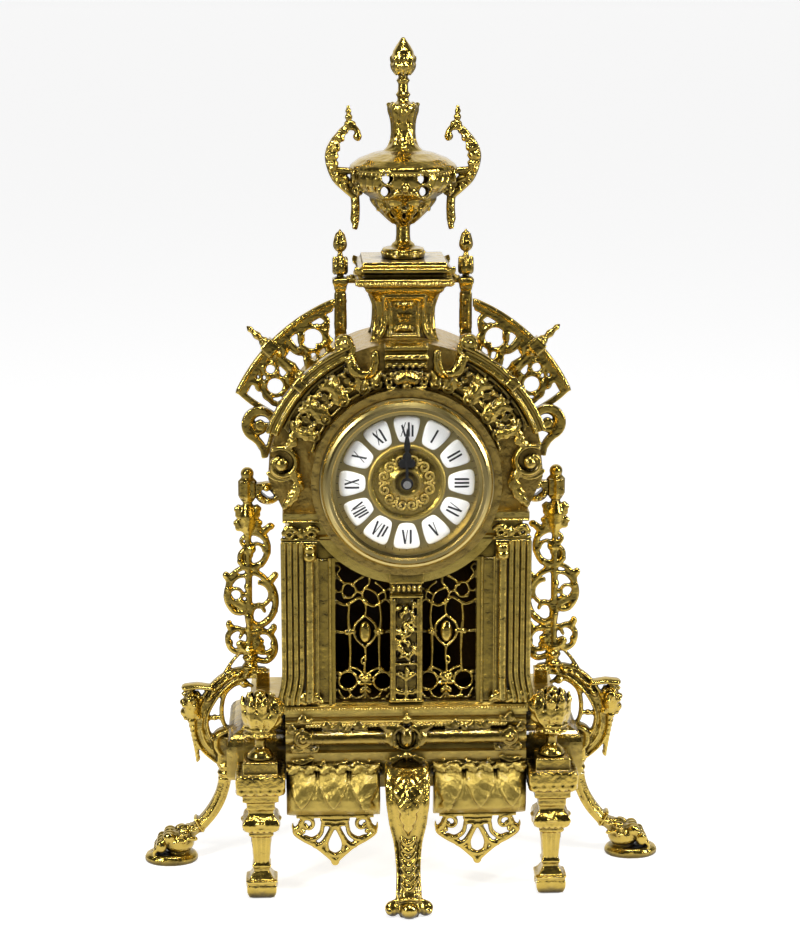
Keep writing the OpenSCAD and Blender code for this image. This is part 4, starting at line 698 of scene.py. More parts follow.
def spindle():
    x, y = 105, 35
    shapes = [turning((x, y, 140),
        [(5.6, 0.2), (5.6, 2), (3.4, 4), (5.6, 7.5), (3, 10.5), (4.4, 13), (2.6, 16), (2.4, 30), (3.4, 36),
            (2.2, 42), (2.6, 70), (2.2, 92), (3, 97), (5, 101), (6, 108), (4.6, 113), (2.8, 117),
            (4.6, 119), (2.8, 122)], 20)]
    for spot, big in (((103, 224.5), 1.0), ((105.5, 198), 0.9)):
        shapes.append(orb((spot[0], y, spot[1]), (3.4 * big, 3.2, 3.4 * big)))
    for a, b, w in (((105, 246), (98.5, 256), 4.4), ((105, 246), (111.5, 256), 4.4),
            ((105, 238), (97.5, 246), 4), ((105, 238), (112.5, 246), 4), ((105, 152), (97.5, 162), 4),
            ((105, 152), (112, 160), 4)):
        for out in (-1, 1):
            mid = ((a[0] + b[0]) / 2 + (b[0] - a[0]) * 0.25, (a[1] + b[1]) / 2 - 1)
            shapes.append(leaf(flat([a, mid, b], y + out * 1.6), [w * 0.6, w, w * 0.7], 3, 0.8, 1.4,
                face=(0, out, 0), n=18, m=9))
    # upper scroll, opening to the right
    shapes.append(strand(smooth_path(flat(
            [(105, 240), (99.5, 238), (93.5, 232), (91.8, 224), (95.5, 215), (103, 211.5), (109.5, 214.5),
                (110.5, 221), (106.5, 224.5), (103, 221.5)], y)), [1.2, 2.2, 2.4, 2.4, 2.2, 1.8, 1.4], 2.4))
    # middle double scroll
    shapes.append(strand(smooth_path(flat(
            [(103.5, 206), (113, 205), (119, 198), (120, 189), (115.5, 181), (109.5, 180), (107.5, 185),
                (111, 188.5)], y)), [1.2, 2.2, 2.4, 2.2, 1.5], 2.4))
    shapes.append(strand(smooth_path(flat(
            [(106, 209), (96, 205), (89, 197.5), (86.8, 187), (90, 176.5), (98, 170.5), (104, 174),
                (103, 182), (97.5, 185), (94.5, 180.5)], y)), [1.2, 2.4, 2.6, 2.4, 1.4], 2.4))
    # lower ring and the outer curl
    shapes.append(strand(smooth_path(flat(
            [(104, 166), (94.5, 166.5), (88.4, 160), (88, 151), (93.5, 145), (101, 147), (103, 153),
                (99, 157.5), (95.5, 154.5)], y)), [1.4, 2.2, 2.4, 2.2, 1.4], 2.4))
    shapes.append(strand(smooth_path(flat(
            [(106, 153), (113, 151), (118.5, 155), (119.8, 163), (115, 168.5), (110, 166.5), (111.5, 162)],
            y)), [1.6, 2.2, 2.2, 1.3], 2.2))
    for p in ((93.2, 232), (92, 222), (96.5, 214), (119, 197), (117.5, 184), (88, 193), (87.6, 181),
            (93, 173.5), (88.6, 157), (91, 147.5), (118.6, 158), (110.5, 216)):
        shapes.append(orb((p[0], y, p[1]), (2.5, 2.9, 2.9), 10, 6))
    for p, q in (((95, 236), (86.5, 241)), ((90.5, 201), (84.5, 207)), ((117.5, 202), (123, 207)),
            ((91, 164), (86, 170)), ((117, 167), (121, 173))):
        for out in (-1, 1):
            shapes.append(leaf(flat([p, ((p[0] + q[0]) / 2, (p[1] + q[1]) / 2 + 1.5), q], y + out),
                [2.4, 3, 1.6], 2, 0.8, 1.2, face=(0, out, 0), n=14, m=9))
    shapes += [
        orb((x, y, 277.5), 4.6),
        turning((x, y, 262), [(5.4, -2), (6.4, 0), (6.4, 10.5), (5, 12), (2.6, 13)], 4)]
    return shapes


cast("right_spindle_cast", spindle(), cast_brass, of=("right_spindle",), grain=0.7, ease=2,
    mirror=("left_spindle_cast", ("left_spindle",)))
y = 35
cast("right_arm_cast",
    [
        strand(smooth_path(flat([(84, 262), (89, 268), (95, 269), (99.4, 266)], y)), [2.4, 3, 2.2], 4),
        strand(smooth_path(flat([(84, 261), (90, 258), (96, 259.5), (99.4, 264)], y)), [2, 2.4, 1.8],
            3.6)] + [orb(p, 2.4) for p in ((86, 31, 266), (92, 31, 268), (91, 31, 259.4), (96, 31, 261.5))],
    cast_brass, of=("right_arm",), grain=0.7, ease=2, mirror=("left_arm_cast", ("left_arm",)))

# ------------------------------------------------------------------ turned front legs and their vases
# Square baluster legs with a corbelled head, a leaf moulding under the block and a covered
# vase of leaves on top. Cast in brass and finished on the wheel.


def leg_head():
    shapes = []
    for side in range(4):
        c, s = cos(side * pi / 2), sin(side * pi / 2)
        put = lambda a, b, z: (97.5 + c * a - s * b, -30 + s * a + c * b, z)
        out = (c, s, 0)
        for k in range(5):
            u = -12.4 + 6.2 * k
            shapes.append(leaf([put(14.6, u, 81.5), put(15.6, u, 78.6), put(14.2, u, 75.4)],
                [2.4, 2.9, 1.4], 2, 0.8, 1.1, face=out, n=14, m=9))
        for turn in (0, pi):                                 # the plaited band
            shapes.append(strand([put(15 + 0.5 * cos(u * 0.9 + turn), u, 87 + 2.5 * sin(u * 0.62 + turn))
                    for u in np.linspace(-15, 15, 34)], 1.15, 1.3, face=out))
        # gadroons on the bulb, flutes on the shaft
        for k in range(5):
            u = -7.6 + 3.8 * k
            shapes.append(orb(put(11.6 - abs(u) * 0.08, u, 51.4),
                (1.5 + 0.4 * abs(s), 1.5 + 0.4 * abs(c), 3.2), 8, 6))
        for u in (-1, 0, 1):
            shapes.append(strand([put(6.3, u * 3.4, 45), put(5.2, u * 2.9, 34), put(4.6, u * 2.4, 24)],
                [0.9, 0.9, 0.7], 1.1, face=out))
        shapes += [
            orb(put(12.4, 0, 55), (1.6 + 1.4 * abs(s), 1.6 + 1.4 * abs(c), 1.5), 10, 6),
            orb(put(9.4, 0, 8.4), (1.4 + 2 * abs(s), 1.4 + 2 * abs(c), 3.6), 10, 6),
            strand([put(9.6, -8, 12.8), put(9.9, 0, 12.8), put(9.6, 8, 12.8)], 1.1, 1.1, face=out)]
    return shapes


cast("right_column_leg_cast", leg_head(), cast_brass, of=("right_column_leg",), grain=0.75, ease=2,
    mirror=("left_column_leg_cast", ("left_column_leg",)))


def vase():
    x, y = 97.5, -30
    shapes = [turning((x, y, 98),
        [(8.8, 0.2), (8.8, 1.6), (8, 3.4), (6.2, 5.6), (4, 7), (3.5, 9), (3.8, 13), (6, 15), (9.6, 16.4),
            (10.2, 18.4), (9.2, 19.6), (10.4, 21), (10, 23), (8.4, 25), (9.6, 30), (9.4, 35), (6.4, 39)],
        32)]
    for k in range(9):
        a = 2 * pi * k / 9 + 0.35
        c, s = cos(a), sin(a)
        put = lambda r, z: (x + c * r, y + s * r, z)
        shapes += [
            leaf([put(8.6, 121), put(10.8, 127), put(11.2, 134), put(12.8, 140.4)], [2.6, 4.6, 4, 1.6], 3,
                1, 1.7, face=(c, s, 0.2), n=24, m=11),
            orb(put(9.6, 115.6), (1.7, 1.7, 1.5), 8, 5),
            orb(put(9.8, 119.6), (1.5, 1.5, 1.3), 8, 5)]
        a += pi / 9
        c, s = cos(a), sin(a)
        shapes += [
            leaf([(x + c * 8, y + s * 8, 130), (x + c * 8.6, y + s * 8.6, 136),
                    (x + c * 7, y + s * 7, 143.4)], [2.4, 3.6, 1.2], 3, 1, 1.4, face=(c, s, 0.2), n=20,
                m=9),
            orb((x + c * 9.7, y + s * 9.7, 115.4), (1.6, 1.6, 1.4), 8, 5)]
    # the broad shell leaf on the side of the case
    shapes += [leaf(
        [(x - 5, y - 6, 119), (x - 10, y - 9, 127), (x - 11.6, y - 8, 136), (x - 8, y - 4, 143)],
        [4, 6.4, 5.4, 2], 2, 1.4, 2.2, face=(-0.5, -1, 0.1), n=34, m=15)]
    shapes += [orb((x, y, 141), (4.4, 4.4, 4.4), 12, 8)]
    return shapes


cast("right_vase_cast", vase(), cast_brass, of=("right_vase",), merge=False, grain=0.65, ease=2,
    mirror=("left_vase_cast", ("left_vase",)))

# ------------------------------------------------------------------ centre leg
# The middle foot curls forward on a scrolled toe. Its bib is an acanthus leaf and its shank
# carries a row of scales between two fillets. One brass casting, bolted behind the panels.


LEG_RISE = [0, 3, 8, 12, 20, 28, 38, 46, 58, 72, 84, 93.6]


def leg_at(kind, z):
    """The centre leg's half width, front or back at a height."""
    rows = {"half": [6, 7, 8.4, 8.4, 8, 7.8, 8.4, 9.4, 12.2, 14, 14.6, 14.6],
        "front": [-76, -77.5, -76, -72.5, -68, -63.5, -59.5, -58, -58.6, -59.5, -56, -44],
        "back": [-64, -63, -62, -60.5, -57.5, -54, -50, -46.5, -41, -34, -29, -28.5]}
    return float(np.interp(z, LEG_RISE, rows[kind]))


def centre_leg():
    rings = []
    for z in np.linspace(0.2, 93.6, 48):
        half, front, back = (leg_at(kind, z) for kind in ("half", "front", "back"))
        turn = np.linspace(0, 2 * pi, 28, endpoint=False)
        across = np.sign(np.cos(turn)) * np.abs(np.cos(turn)) ** 0.6 * half
        mid, deep = (front + back) / 2, (back - front) / 2
        along = np.sign(np.sin(turn)) * np.abs(np.sin(turn)) ** 0.6 * deep
        hollow = np.where(np.sin(turn) < 0,
            2.0 * np.exp(-((np.abs(across) - half * 0.72) / (half * 0.16)) ** 2), 0)
        rings.append(np.stack([across, mid + along + hollow, z + 0 * turn], 1))
    shapes = [skin(rings)]
    for k in range(7):                                             # scales down the middle of the shank
        z = 48 - 4.6 * k
        y = leg_at("front", z) - 0.5
        for s in (-1, 1):
            shapes.append(strand(
                smooth_path([(0, leg_at("front", z - 2.4) - 0.9, z - 2.6), (s * 2.6, y - 0.2, z - 0.6),
                    (s * 4.6, y + 0.6, z + 2)]), [1.5, 1.5, 0.9], 1.5))
    shapes += [leaf([(0, -47, 92), (0, leg_at("front", 84) - 1, 84), (0, leg_at("front", 72) - 1.6, 72),
            (0, leg_at("front", 62) - 1.2, 61), (0, leg_at("front", 53) - 0.6, 52)],
        [9.4, 10, 7.4, 4.4, 1.6], 5, 2, 2.4, face=(0, -1, 0.3), n=50, m=21)]
    for s in (-1, 1):
        edge = [(s * (leg_at("half", z) - 0.9), (leg_at("front", z) * 0.75 + leg_at("back", z) * 0.25), z)
            for z in np.linspace(12, 90, 26)]
        shapes += [
            strand(edge, [1.4, 1.2, 1.5], 1.6),
            orb((s * 11, -70, 5.6), (5.2, 5, 5.4)),
            orb((s * 13, -73.4, 5.2), (2.6, 2.6, 2.6)),
            strand(smooth_path([(s * 5, -70, 11), (s * 10, -71, 10.4), (s * 14.4, -71.4, 7),
                    (s * 13.4, -72, 3)]), [1.8, 1.8, 1.4])]
    shapes += [
        orb((0, -74.6, 5.8), (6, 5.2, 5.7), 20, 12),
        strand(smooth_path([(-5.6, -73, 12.4), (0, -74.6, 14), (5.6, -73, 12.4)]), 1.2)]
    return shapes


cast("centre_leg_cast", centre_leg(), cast_brass, of=("centre_leg",), merge=False, grain=0.65, ease=2)

# ------------------------------------------------------------------ bowed front panels and their aprons
# Two bombe panels chased with big overlapping leaves under a leaf border, and a pierced
# pendant apron behind each. Cast brass, screwed to the breakfront from inside.


SWELL_RISE = np.linspace(50, 100, 201)
SWELL = np.interp(SWELL_RISE, [57.5, 64, 71.5, 81.5, 89.5, 93], [-35.5, -42.4, -44.2, -40.6, -33.4, -31.8])
SWELL = np.convolve(np.pad(SWELL, 12, "edge"), np.hanning(27)[1:-1] / np.hanning(27).sum(), "valid")


def panel_swell(z):
    """How far forward the panel's face lies at a height."""
    return float(np.interp(z, SWELL_RISE, SWELL))


def petal(across, share, half, full):
    """How far a point lies inside a petal: half its width, pointed where share is nought."""
    return half * np.minimum(1, np.maximum(share, 0) / full) ** 0.72 - np.abs(across)


def front_panel():
    xs, zs = np.linspace(17.8, 80.3, 150), np.linspace(57.8, 92.8, 84)
    x, z = np.meshgrid(xs, zs)
    rise = lambda d, soft: np.clip(d / soft, 0, 1) ** 0.6
    high = np.zeros_like(x)
    for middle in (17.5, 38.5, 59.5, 80.5):                        # the lower row, points up
        d = np.minimum(petal(x - middle, (84.5 - z) / 26.5, 11.2, 0.75), (84.5 - z) * 0.8)
        crown = 1.1 * np.clip(d / 9, 0, 1) + 0.5 * np.cos((x - middle) * 0.22)
        high = np.maximum(high, np.where(d > 0, 0.9 * rise(d, 1.2) + crown, 0))
    # the upper row, points down, laid over it
    for middle in (28, 49, 70):
        d = petal(x - middle, (z - 65.5) / 25.5, 9.7, 0.6)
        curl = 1.3 * np.clip((80 - z) / 14, 0,
            1) ** 2 + 0.7 * np.cos((x - middle) * 0.3) + 0.25 * np.sin(z * 0.7 + x * 0.5)
        high = np.where(d > 0, 1.7 + 1.0 * rise(d, 1.1) + curl, high)
    high = high * np.clip((z - 57.4) / 3, 0, 1) * np.clip((x - 17.2) / 1.6, 0.2,
        1) * np.clip((80.9 - x) / 1.6, 0.2, 1)
    face = np.vectorize(panel_swell)(z) + 2.4 - high
    rounded = np.clip((80.4 - x) / 5, 0, 1) ** 0.5                    # the outer edge turns back
    face = -31 + (face + 31) * (0.35 + 0.65 * rounded)
    front = np.stack([x, np.maximum(face, -45.7), z], 2)
    back = np.stack([x, -29.5 + 0 * x, z], 2)
    shapes = [skin(np.concatenate([front, back[:, ::-1]], 1))]
    for k in range(6):                                                # ruffled leaves under the top edge
        u = 22 + 10.6 * k
        shapes += [
            leaf([(u - 4, -33, 92), (u, -35.2, 90.6), (u + 4.4, -36, 87.4)], [2.2, 3.4, 1.4], 3, 1, 1.7,
                face=(0, -1, 0.3), n=22, m=11),
            orb((u + 5.6, -34.6, 90.4), (1.7, 1.5, 1.5), 8, 5)]
    shapes.append(leaf([(22, -37, 60), (25, -43.6, 66), (31, -45, 68)], [3, 4.6, 1.6], 4, 1, 1.6,
        face=(0, -1, 0), n=26, m=13))
    return [(np.minimum(np.maximum(p, (17.6, -45.7, 57.6)), (80.4, 0, 93.2)), f) for p, f in shapes]


satin_brass = brass_finish("satin_brass", (0.504, 0.37, 0.084), (0.040, 0.024, 0.004), 0.38, pits=0.6,
    hollow=0.005, wave=0.9, coat=0.1)
cast("right_front_panel_cast", front_panel(), satin_brass, of=("right_front_panel",), merge=False,
    grain=0.5, ease=1, mirror=("left_front_panel_cast", ("left_front_panel",)))


def apron():
    x, y = 48, -32
    shapes = []
    for s in (-1, 1):
        shapes += [
            strand(smooth_path(flat(
                    [(x + s * 20.5, 56.5), (x + s * 23.4, 50), (x + s * 26.6, 45.4), (x + s * 21, 40.4),
                        (x + s * 13, 36), (x + s * 6, 30), (x, 24)], y)),
                [1.5, 2.0, 2.2, 2.2, 2.4, 2.2, 2.0], 2),
            strand(coil((x + s * 18.2, 50.6), 6, 1.8, -90 + s * 30, -90 + s * 30 + s * 400, y, 34),
                [1.6, 1.5, 1.7], 1.9),
            strand(smooth_path(flat([(x + s * 26.6, 45.4), (x + s * 28.2, 48.6), (x + s * 28.4, 51.4)], y)),
                [1.6, 1, 0.5], 1.2),
            strand(smooth_path(flat(
                    [(x + s * 1.6, 50), (x + s * 4.6, 43), (x + s * 8.4, 37), (x + s * 13.4, 35)], y)),
                [1.4, 1.8, 2, 1.6], 2.2),
            strand(
                smooth_path(flat([(x + s * 8, 52), (x + s * 9.6, 44), (x + s * 15, 40), (x + s * 20, 41.6)],
                    y)), [1.4, 1.7, 1.9, 1.6], 1.8),
            strand(smooth_path(flat([(x + s * 0.6, 49), (x + s * 5.4, 38), (x + s * 5, 31)], y)),
                [1.3, 1.3, 1.6], 1.8)]
    shapes += [
        strand(flat([(x - 8.6, 53.6), (x, 53), (x + 8.6, 53.6)], y), 1.5, 1.9),
        strand(flat([(x - 6.4, 50.4), (x, 50), (x + 6.4, 50.4)], y), 1.3, 1.8),
        slab([(x - 26, 55.4), (x + 26, 55.4), (x + 26, 57.5), (x - 26, 57.5)], -33.6, -30.2),
        strand(smooth_path(flat([(x - 5, 31), (x, 28.6), (x + 5, 31)], y)), 1.6, 2),
        orb((x, y, 24), (3, 2, 3.2))]
    return shapes


cast("right_apron_cast", apron(), cast_brass, of=("right_apron",), merge=False, grain=0.55, ease=2,
    mirror=("left_apron_cast", ("left_apron",)))

# ------------------------------------------------------------------ body case
# The clock's body, a hollow cast brass box. Its rubbed faces are bright; the hollow inside,
# seen through the grilles, is painted dark brown and dull as shade.


def with_painted_inner_shade(finish, name, insides):
    """A copy of a brass finish with painted shade, dark brown and dull, inside a box of x, y and z in
    millimetres.
    """
    made = finish.copy()
    made.name = name
    tree = made.node_tree
    metal = tree.nodes["Principled BSDF"]
    where = add(tree, "ShaderNodeSeparateXYZ", {0: place_of(tree)}).outputs
    edge, inside = 0.3, 1.0
    for axis, (low, high) in zip("XYZ", insides):
        over = ramp(tree, where[axis], (low - edge) * MM, low * MM, 0, 1, smooth=False)
        under = ramp(tree, where[axis], high * MM, (high + edge) * MM, 1, 0, smooth=False)
        inside = sums(tree, "MULTIPLY", sums(tree, "MULTIPLY", over, under), inside)
    unshaded_colour, gloss = (metal.inputs[key].links[0].from_socket for key in ("Base Color", "Roughness"))
    dull = sums(tree, "MAXIMUM", gloss, sums(tree, "MULTIPLY", inside, 0.7))
    # painted shade: inside the box the colour is mixed to dark brown
    fill(tree, metal,
        {"Coat Weight": 0.1, "Roughness": dull,
            "Base Color": mixed(tree, inside, unshaded_colour, (0.085, 0.046, 0.012))})
    return made


case_brass = with_painted_inner_shade(brass_finish("plain_cast", (0.66, 0.465, 0.085), (0.016, 0.009, 0.0012), 0.12, wave=0.4),
    "case_brass", ((-76.4, 76.4), (-22.9, 63.4), (129.2, 254.8)))
dress("body_shell", case_brass)
dress("cornice", cast_brass)


def cornice_scrolls():
    shapes = []
    for s in (-1, 1):
        for x in (61.5, 76):
            shapes += [
                strand(coil((s * x, 251.6), 4.4, 1.2, 90 + s * 70, 90 + s * 70 - s * 430, -28.6, 30),
                    [1.4, 1.2, 1.5], 3),
                leaf([(s * (x - 3), -28.4, 255), (s * (x + 2), -30, 254), (s * (x + 5.4), -28.6, 249)],
                    [2, 3, 1.2], 3, 0.9, 1.5, n=20, m=9)]
        shapes += [
            leaf([(s * 66, -27.6, 247.4), (s * 69, -29.4, 251), (s * 69, -28.2, 255.6)], [2.6, 3, 1.2], 3,
                0.9, 1.5, n=20, m=9),
            strand([(s * 57.6, -28.2, 247), (s * 70, -28.2, 247), (s * 81.4, -28.2, 247)], 1.2, 2.2),
            strand([(s * 57.6, -28.4, 259), (s * 70, -28.4, 259), (s * 80.4, -28.4, 259)], 0.9, 1.6)]
    return shapes


cast("cornice_scrolls_cast", cornice_scrolls(), cast_brass, grain=0.6, ease=2)

# ------------------------------------------------------------------ pilasters
# Each side of the front has four fine reeds that spread at the foot, a half-round reed with a
# knot at its top, and a flat stile with raised edges; leaves gather at their foot. Cast brass.
reeding, given = new_tree("reeding", Foot=(0.0, 0.0, 0.0), Step=4.0, Count=4, Height=100.0, Radius=1.6,
    Spread=0.0)
feet = add(reeding, "GeometryNodeMeshLine",
    {"Count": given["Count"], "Start Location": (0, 0, 0),
        "Offset": add(reeding, "ShaderNodeCombineXYZ", {"X": given["Step"]}).outputs[0]}, mode="OFFSET")
stem = add(reeding, "GeometryNodeCurvePrimitiveLine",
    {"Start": (0, 0, 0), "End": add(reeding, "ShaderNodeCombineXYZ", {"Z": given["Height"]}).outputs[0]})
stem = add(reeding, "GeometryNodeResampleCurve", {"Curve": stem.outputs[0], "Count": 26})
stems = add(reeding, "GeometryNodeInstanceOnPoints",
    {"Points": feet.outputs[0], "Instance": stem.outputs[0]})
stems = add(reeding, "GeometryNodeRealizeInstances", {0: stems.outputs[0]})
lift = add(reeding, "ShaderNodeSeparateXYZ", {0: add(reeding, "GeometryNodeInputPosition").outputs[0]})
low = sums(reeding, "POWER", ramp(reeding, lift.outputs["Z"], 0.0, 26.0, 1.0, 0.0), 2.0)
lean = add(reeding, "ShaderNodeCombineXYZ",
    {"X": sums(reeding, "MULTIPLY", low, given["Spread"]), "Y": sums(reeding, "MULTIPLY", low, -1.2)})
bent = add(reeding, "GeometryNodeSetPosition", {"Geometry": stems.outputs[0], "Offset": lean.outputs[0]})
round_bar = add(reeding, "GeometryNodeCurvePrimitiveCircle", {"Resolution": 10, "Radius": given["Radius"]})
bars = add(reeding, "GeometryNodeCurveToMesh",
    {"Curve": bent.outputs[0], "Profile Curve": round_bar.outputs[0], "Fill Caps": True})
moved = add(reeding, "GeometryNodeTransform", {"Geometry": bars.outputs[0], "Translation": given["Foot"]})
close_tree(reeding, moved.outputs[0], given)

for side, s in (("right", 1), ("left", -1)):
    set_out(side + "_outer_reeds", reeding, cast_brass, Foot=(s * 69.0, -30.6, 135.0), Step=s * 3.9,
        Count=4, Height=110.0, Radius=1.75, Spread=s * 3.2)
    set_out(side + "_half_round", reeding, cast_brass, Foot=(s * 63.6, -30.4, 137.0), Step=s * 1.0, Count=1,
        Height=104.0, Radius=2.9, Spread=s * 0.6)
    set_out(side + "_stile_edges", reeding, cast_brass, Foot=(s * 50.4, -26.2, 133.6), Step=s * 8.2,
        Count=2, Height=100.0, Radius=0.95, Spread=0.0)


def pilaster():
    # the knot and the two fillets under the cornice
    shapes = [
        slab([(58.8, 134.2), (58.8, 245.6), (82.3, 245.6), (82.3, 156), (82.3, 134.2)], -29.6, -25.2),
        slab([(50.5, 134), (50.5, 233), (58.5, 233), (58.5, 134)], -26.4, -24.5),
        turning((63.6, -30, 236), [(3.2, -3), (4.4, -1.4), (4.8, 1), (4, 3), (4.6, 5), (4.2, 7.5)], 16),
        slab([(58.8, 241.6), (82.3, 241.6), (82.3, 245.8), (58.8, 245.8)], -30.9, -25.2)]
    for a, b, w in (((60, 137), (64, 143), 3.2), ((70, 136), (66, 143), 3), ((74, 136), (79, 143), 3.6),
            ((82, 137), (76, 141), 3), ((66, 135), (72, 140), 3), ((55, 136), (60, 141), 2.6),
            ((78, 135), (83.4, 138), 3)):
        shapes.append(leaf(
            [(a[0], -30.6, a[1]), ((a[0] + b[0]) / 2 + 0.8, -31.6, (a[1] + b[1]) / 2), (b[0], -30.8, b[1])],
            [w * 0.7, w, w * 0.5], 3, 0.9, 1.5, n=18, m=9))
    for x, z, r in ((62, 137, 1.7), (69, 138.5, 2), (73, 137, 1.6), (80, 140, 2), (57.5, 138, 1.4),
            (84, 136.5, 1.6)):
        shapes.append(orb((x, -31, z), (r, r, r), 10, 6))
    return shapes


cast("right_pilaster_cast", pilaster(), cast_brass, of=("right_pilaster",), merge=False, grain=0.7, ease=2,
    mirror=("left_pilaster_cast", ("left_pilaster",)))

# ------------------------------------------------------------------ centre pilaster
# It parts the two grilles: a block and a row of dentils over a sunk panel of chased foliage,
# which ends in a small niche with a forked leaf. One brass casting.


def centre_pilaster():
    rng = np.random.default_rng(7)
    bar = lambda x0, x1, z0, z1, y: slab([(x0, z0), (x1, z0), (x1, z1), (x0, z1)], y, -25.2)
    shapes = [
        bar(-10.6, 10.6, 134.2, 209, -26.6),
        bar(-11.4, 11.4, 217.4, 224.6, -32.8),
        bar(-10.4, 10.4, 209, 217.6, -29.2),
        bar(-11, 11, 207.4, 209.6, -31.6)]
    for s in (-1, 1):
        shapes += [
            strand([(s * 9.9, -28.4, z) for z in (135, 170, 208)], 1.0, 2.4, round_ends=False),
            strand([(s * 7.6, -28, z) for z in (137, 170, 206)], 0.7, 2.0, round_ends=False)]
    shapes += [
        strand([(x, -28.4, 136) for x in (-10.4, 0, 10.4)], 1.4, 2.2),
        strand([(x, -28.4, 161.2) for x in (-7.4, 0, 7.4)], 0.8, 1.6)]
    for k in range(26):                                                # the chased foliage
        x, z = rng.uniform(-5.2, 5.2), 164 + 38 * (k + rng.uniform(0, 1)) / 26
        a = rng.uniform(0.5, 2.6)
        r = rng.uniform(2.4, 4)
        shapes.append(leaf([(x - r * cos(a), -27.4, z - r * sin(a)), (x, -28.6, z),
                (x + r * cos(a), -27.6, z + r * sin(a))], [1, 1.9, 0.8], 2, 0.8, 1.2, n=14, m=9))
    shapes += [
        strand(smooth_path([(0, -28, 138), (0, -28.6, 146), (-0.4, -28.2, 151)]), [1.3, 1, 1]),
        leaf([(0, -28, 150), (-3.4, -29, 153.6), (-6.4, -28, 154.4)], [1.4, 2.2, 1], 2, 0.8, 1.2, n=16,
            m=9),
        leaf([(0, -28, 150), (3.4, -29, 153.6), (6.4, -28, 154.4)], [1.4, 2.2, 1], 2, 0.8, 1.2, n=16, m=9),
        leaf([(0, -28, 151), (0.6, -29, 155.6), (0, -28, 159.6)], [1.2, 1.9, 0.8], 2, 0.8, 1.2, n=16, m=9),
        leaf([(-1, -28, 142), (-4, -28.6, 141), (-6, -28, 144)], [1.2, 1.8, 0.8], 2, 0.8, 1.1, n=16, m=9),
        leaf([(1, -28, 142), (4, -28.6, 141), (6, -28, 144)], [1.2, 1.8, 0.8], 2, 0.8, 1.1, n=16, m=9)]
    return shapes


cast("centre_pilaster_cast", centre_pilaster(), cast_brass, of=("centre_pilaster",), merge=False,
    grain=0.55, ease=1)
set_out("dentils", bead_row, cast_brass, Start=(-8.6, -29.4, 213.4), End=(8.6, -29.4, 213.4), Count=6,
    Bead=(1.5, 2.0, 2.7), Lean=0.0)

# ------------------------------------------------------------------ grilles
# Two pierced brass castings of thin stems, rings and small flowers round an egg boss. They
# close the sound openings each side of the centre pilaster and are pinned from inside.


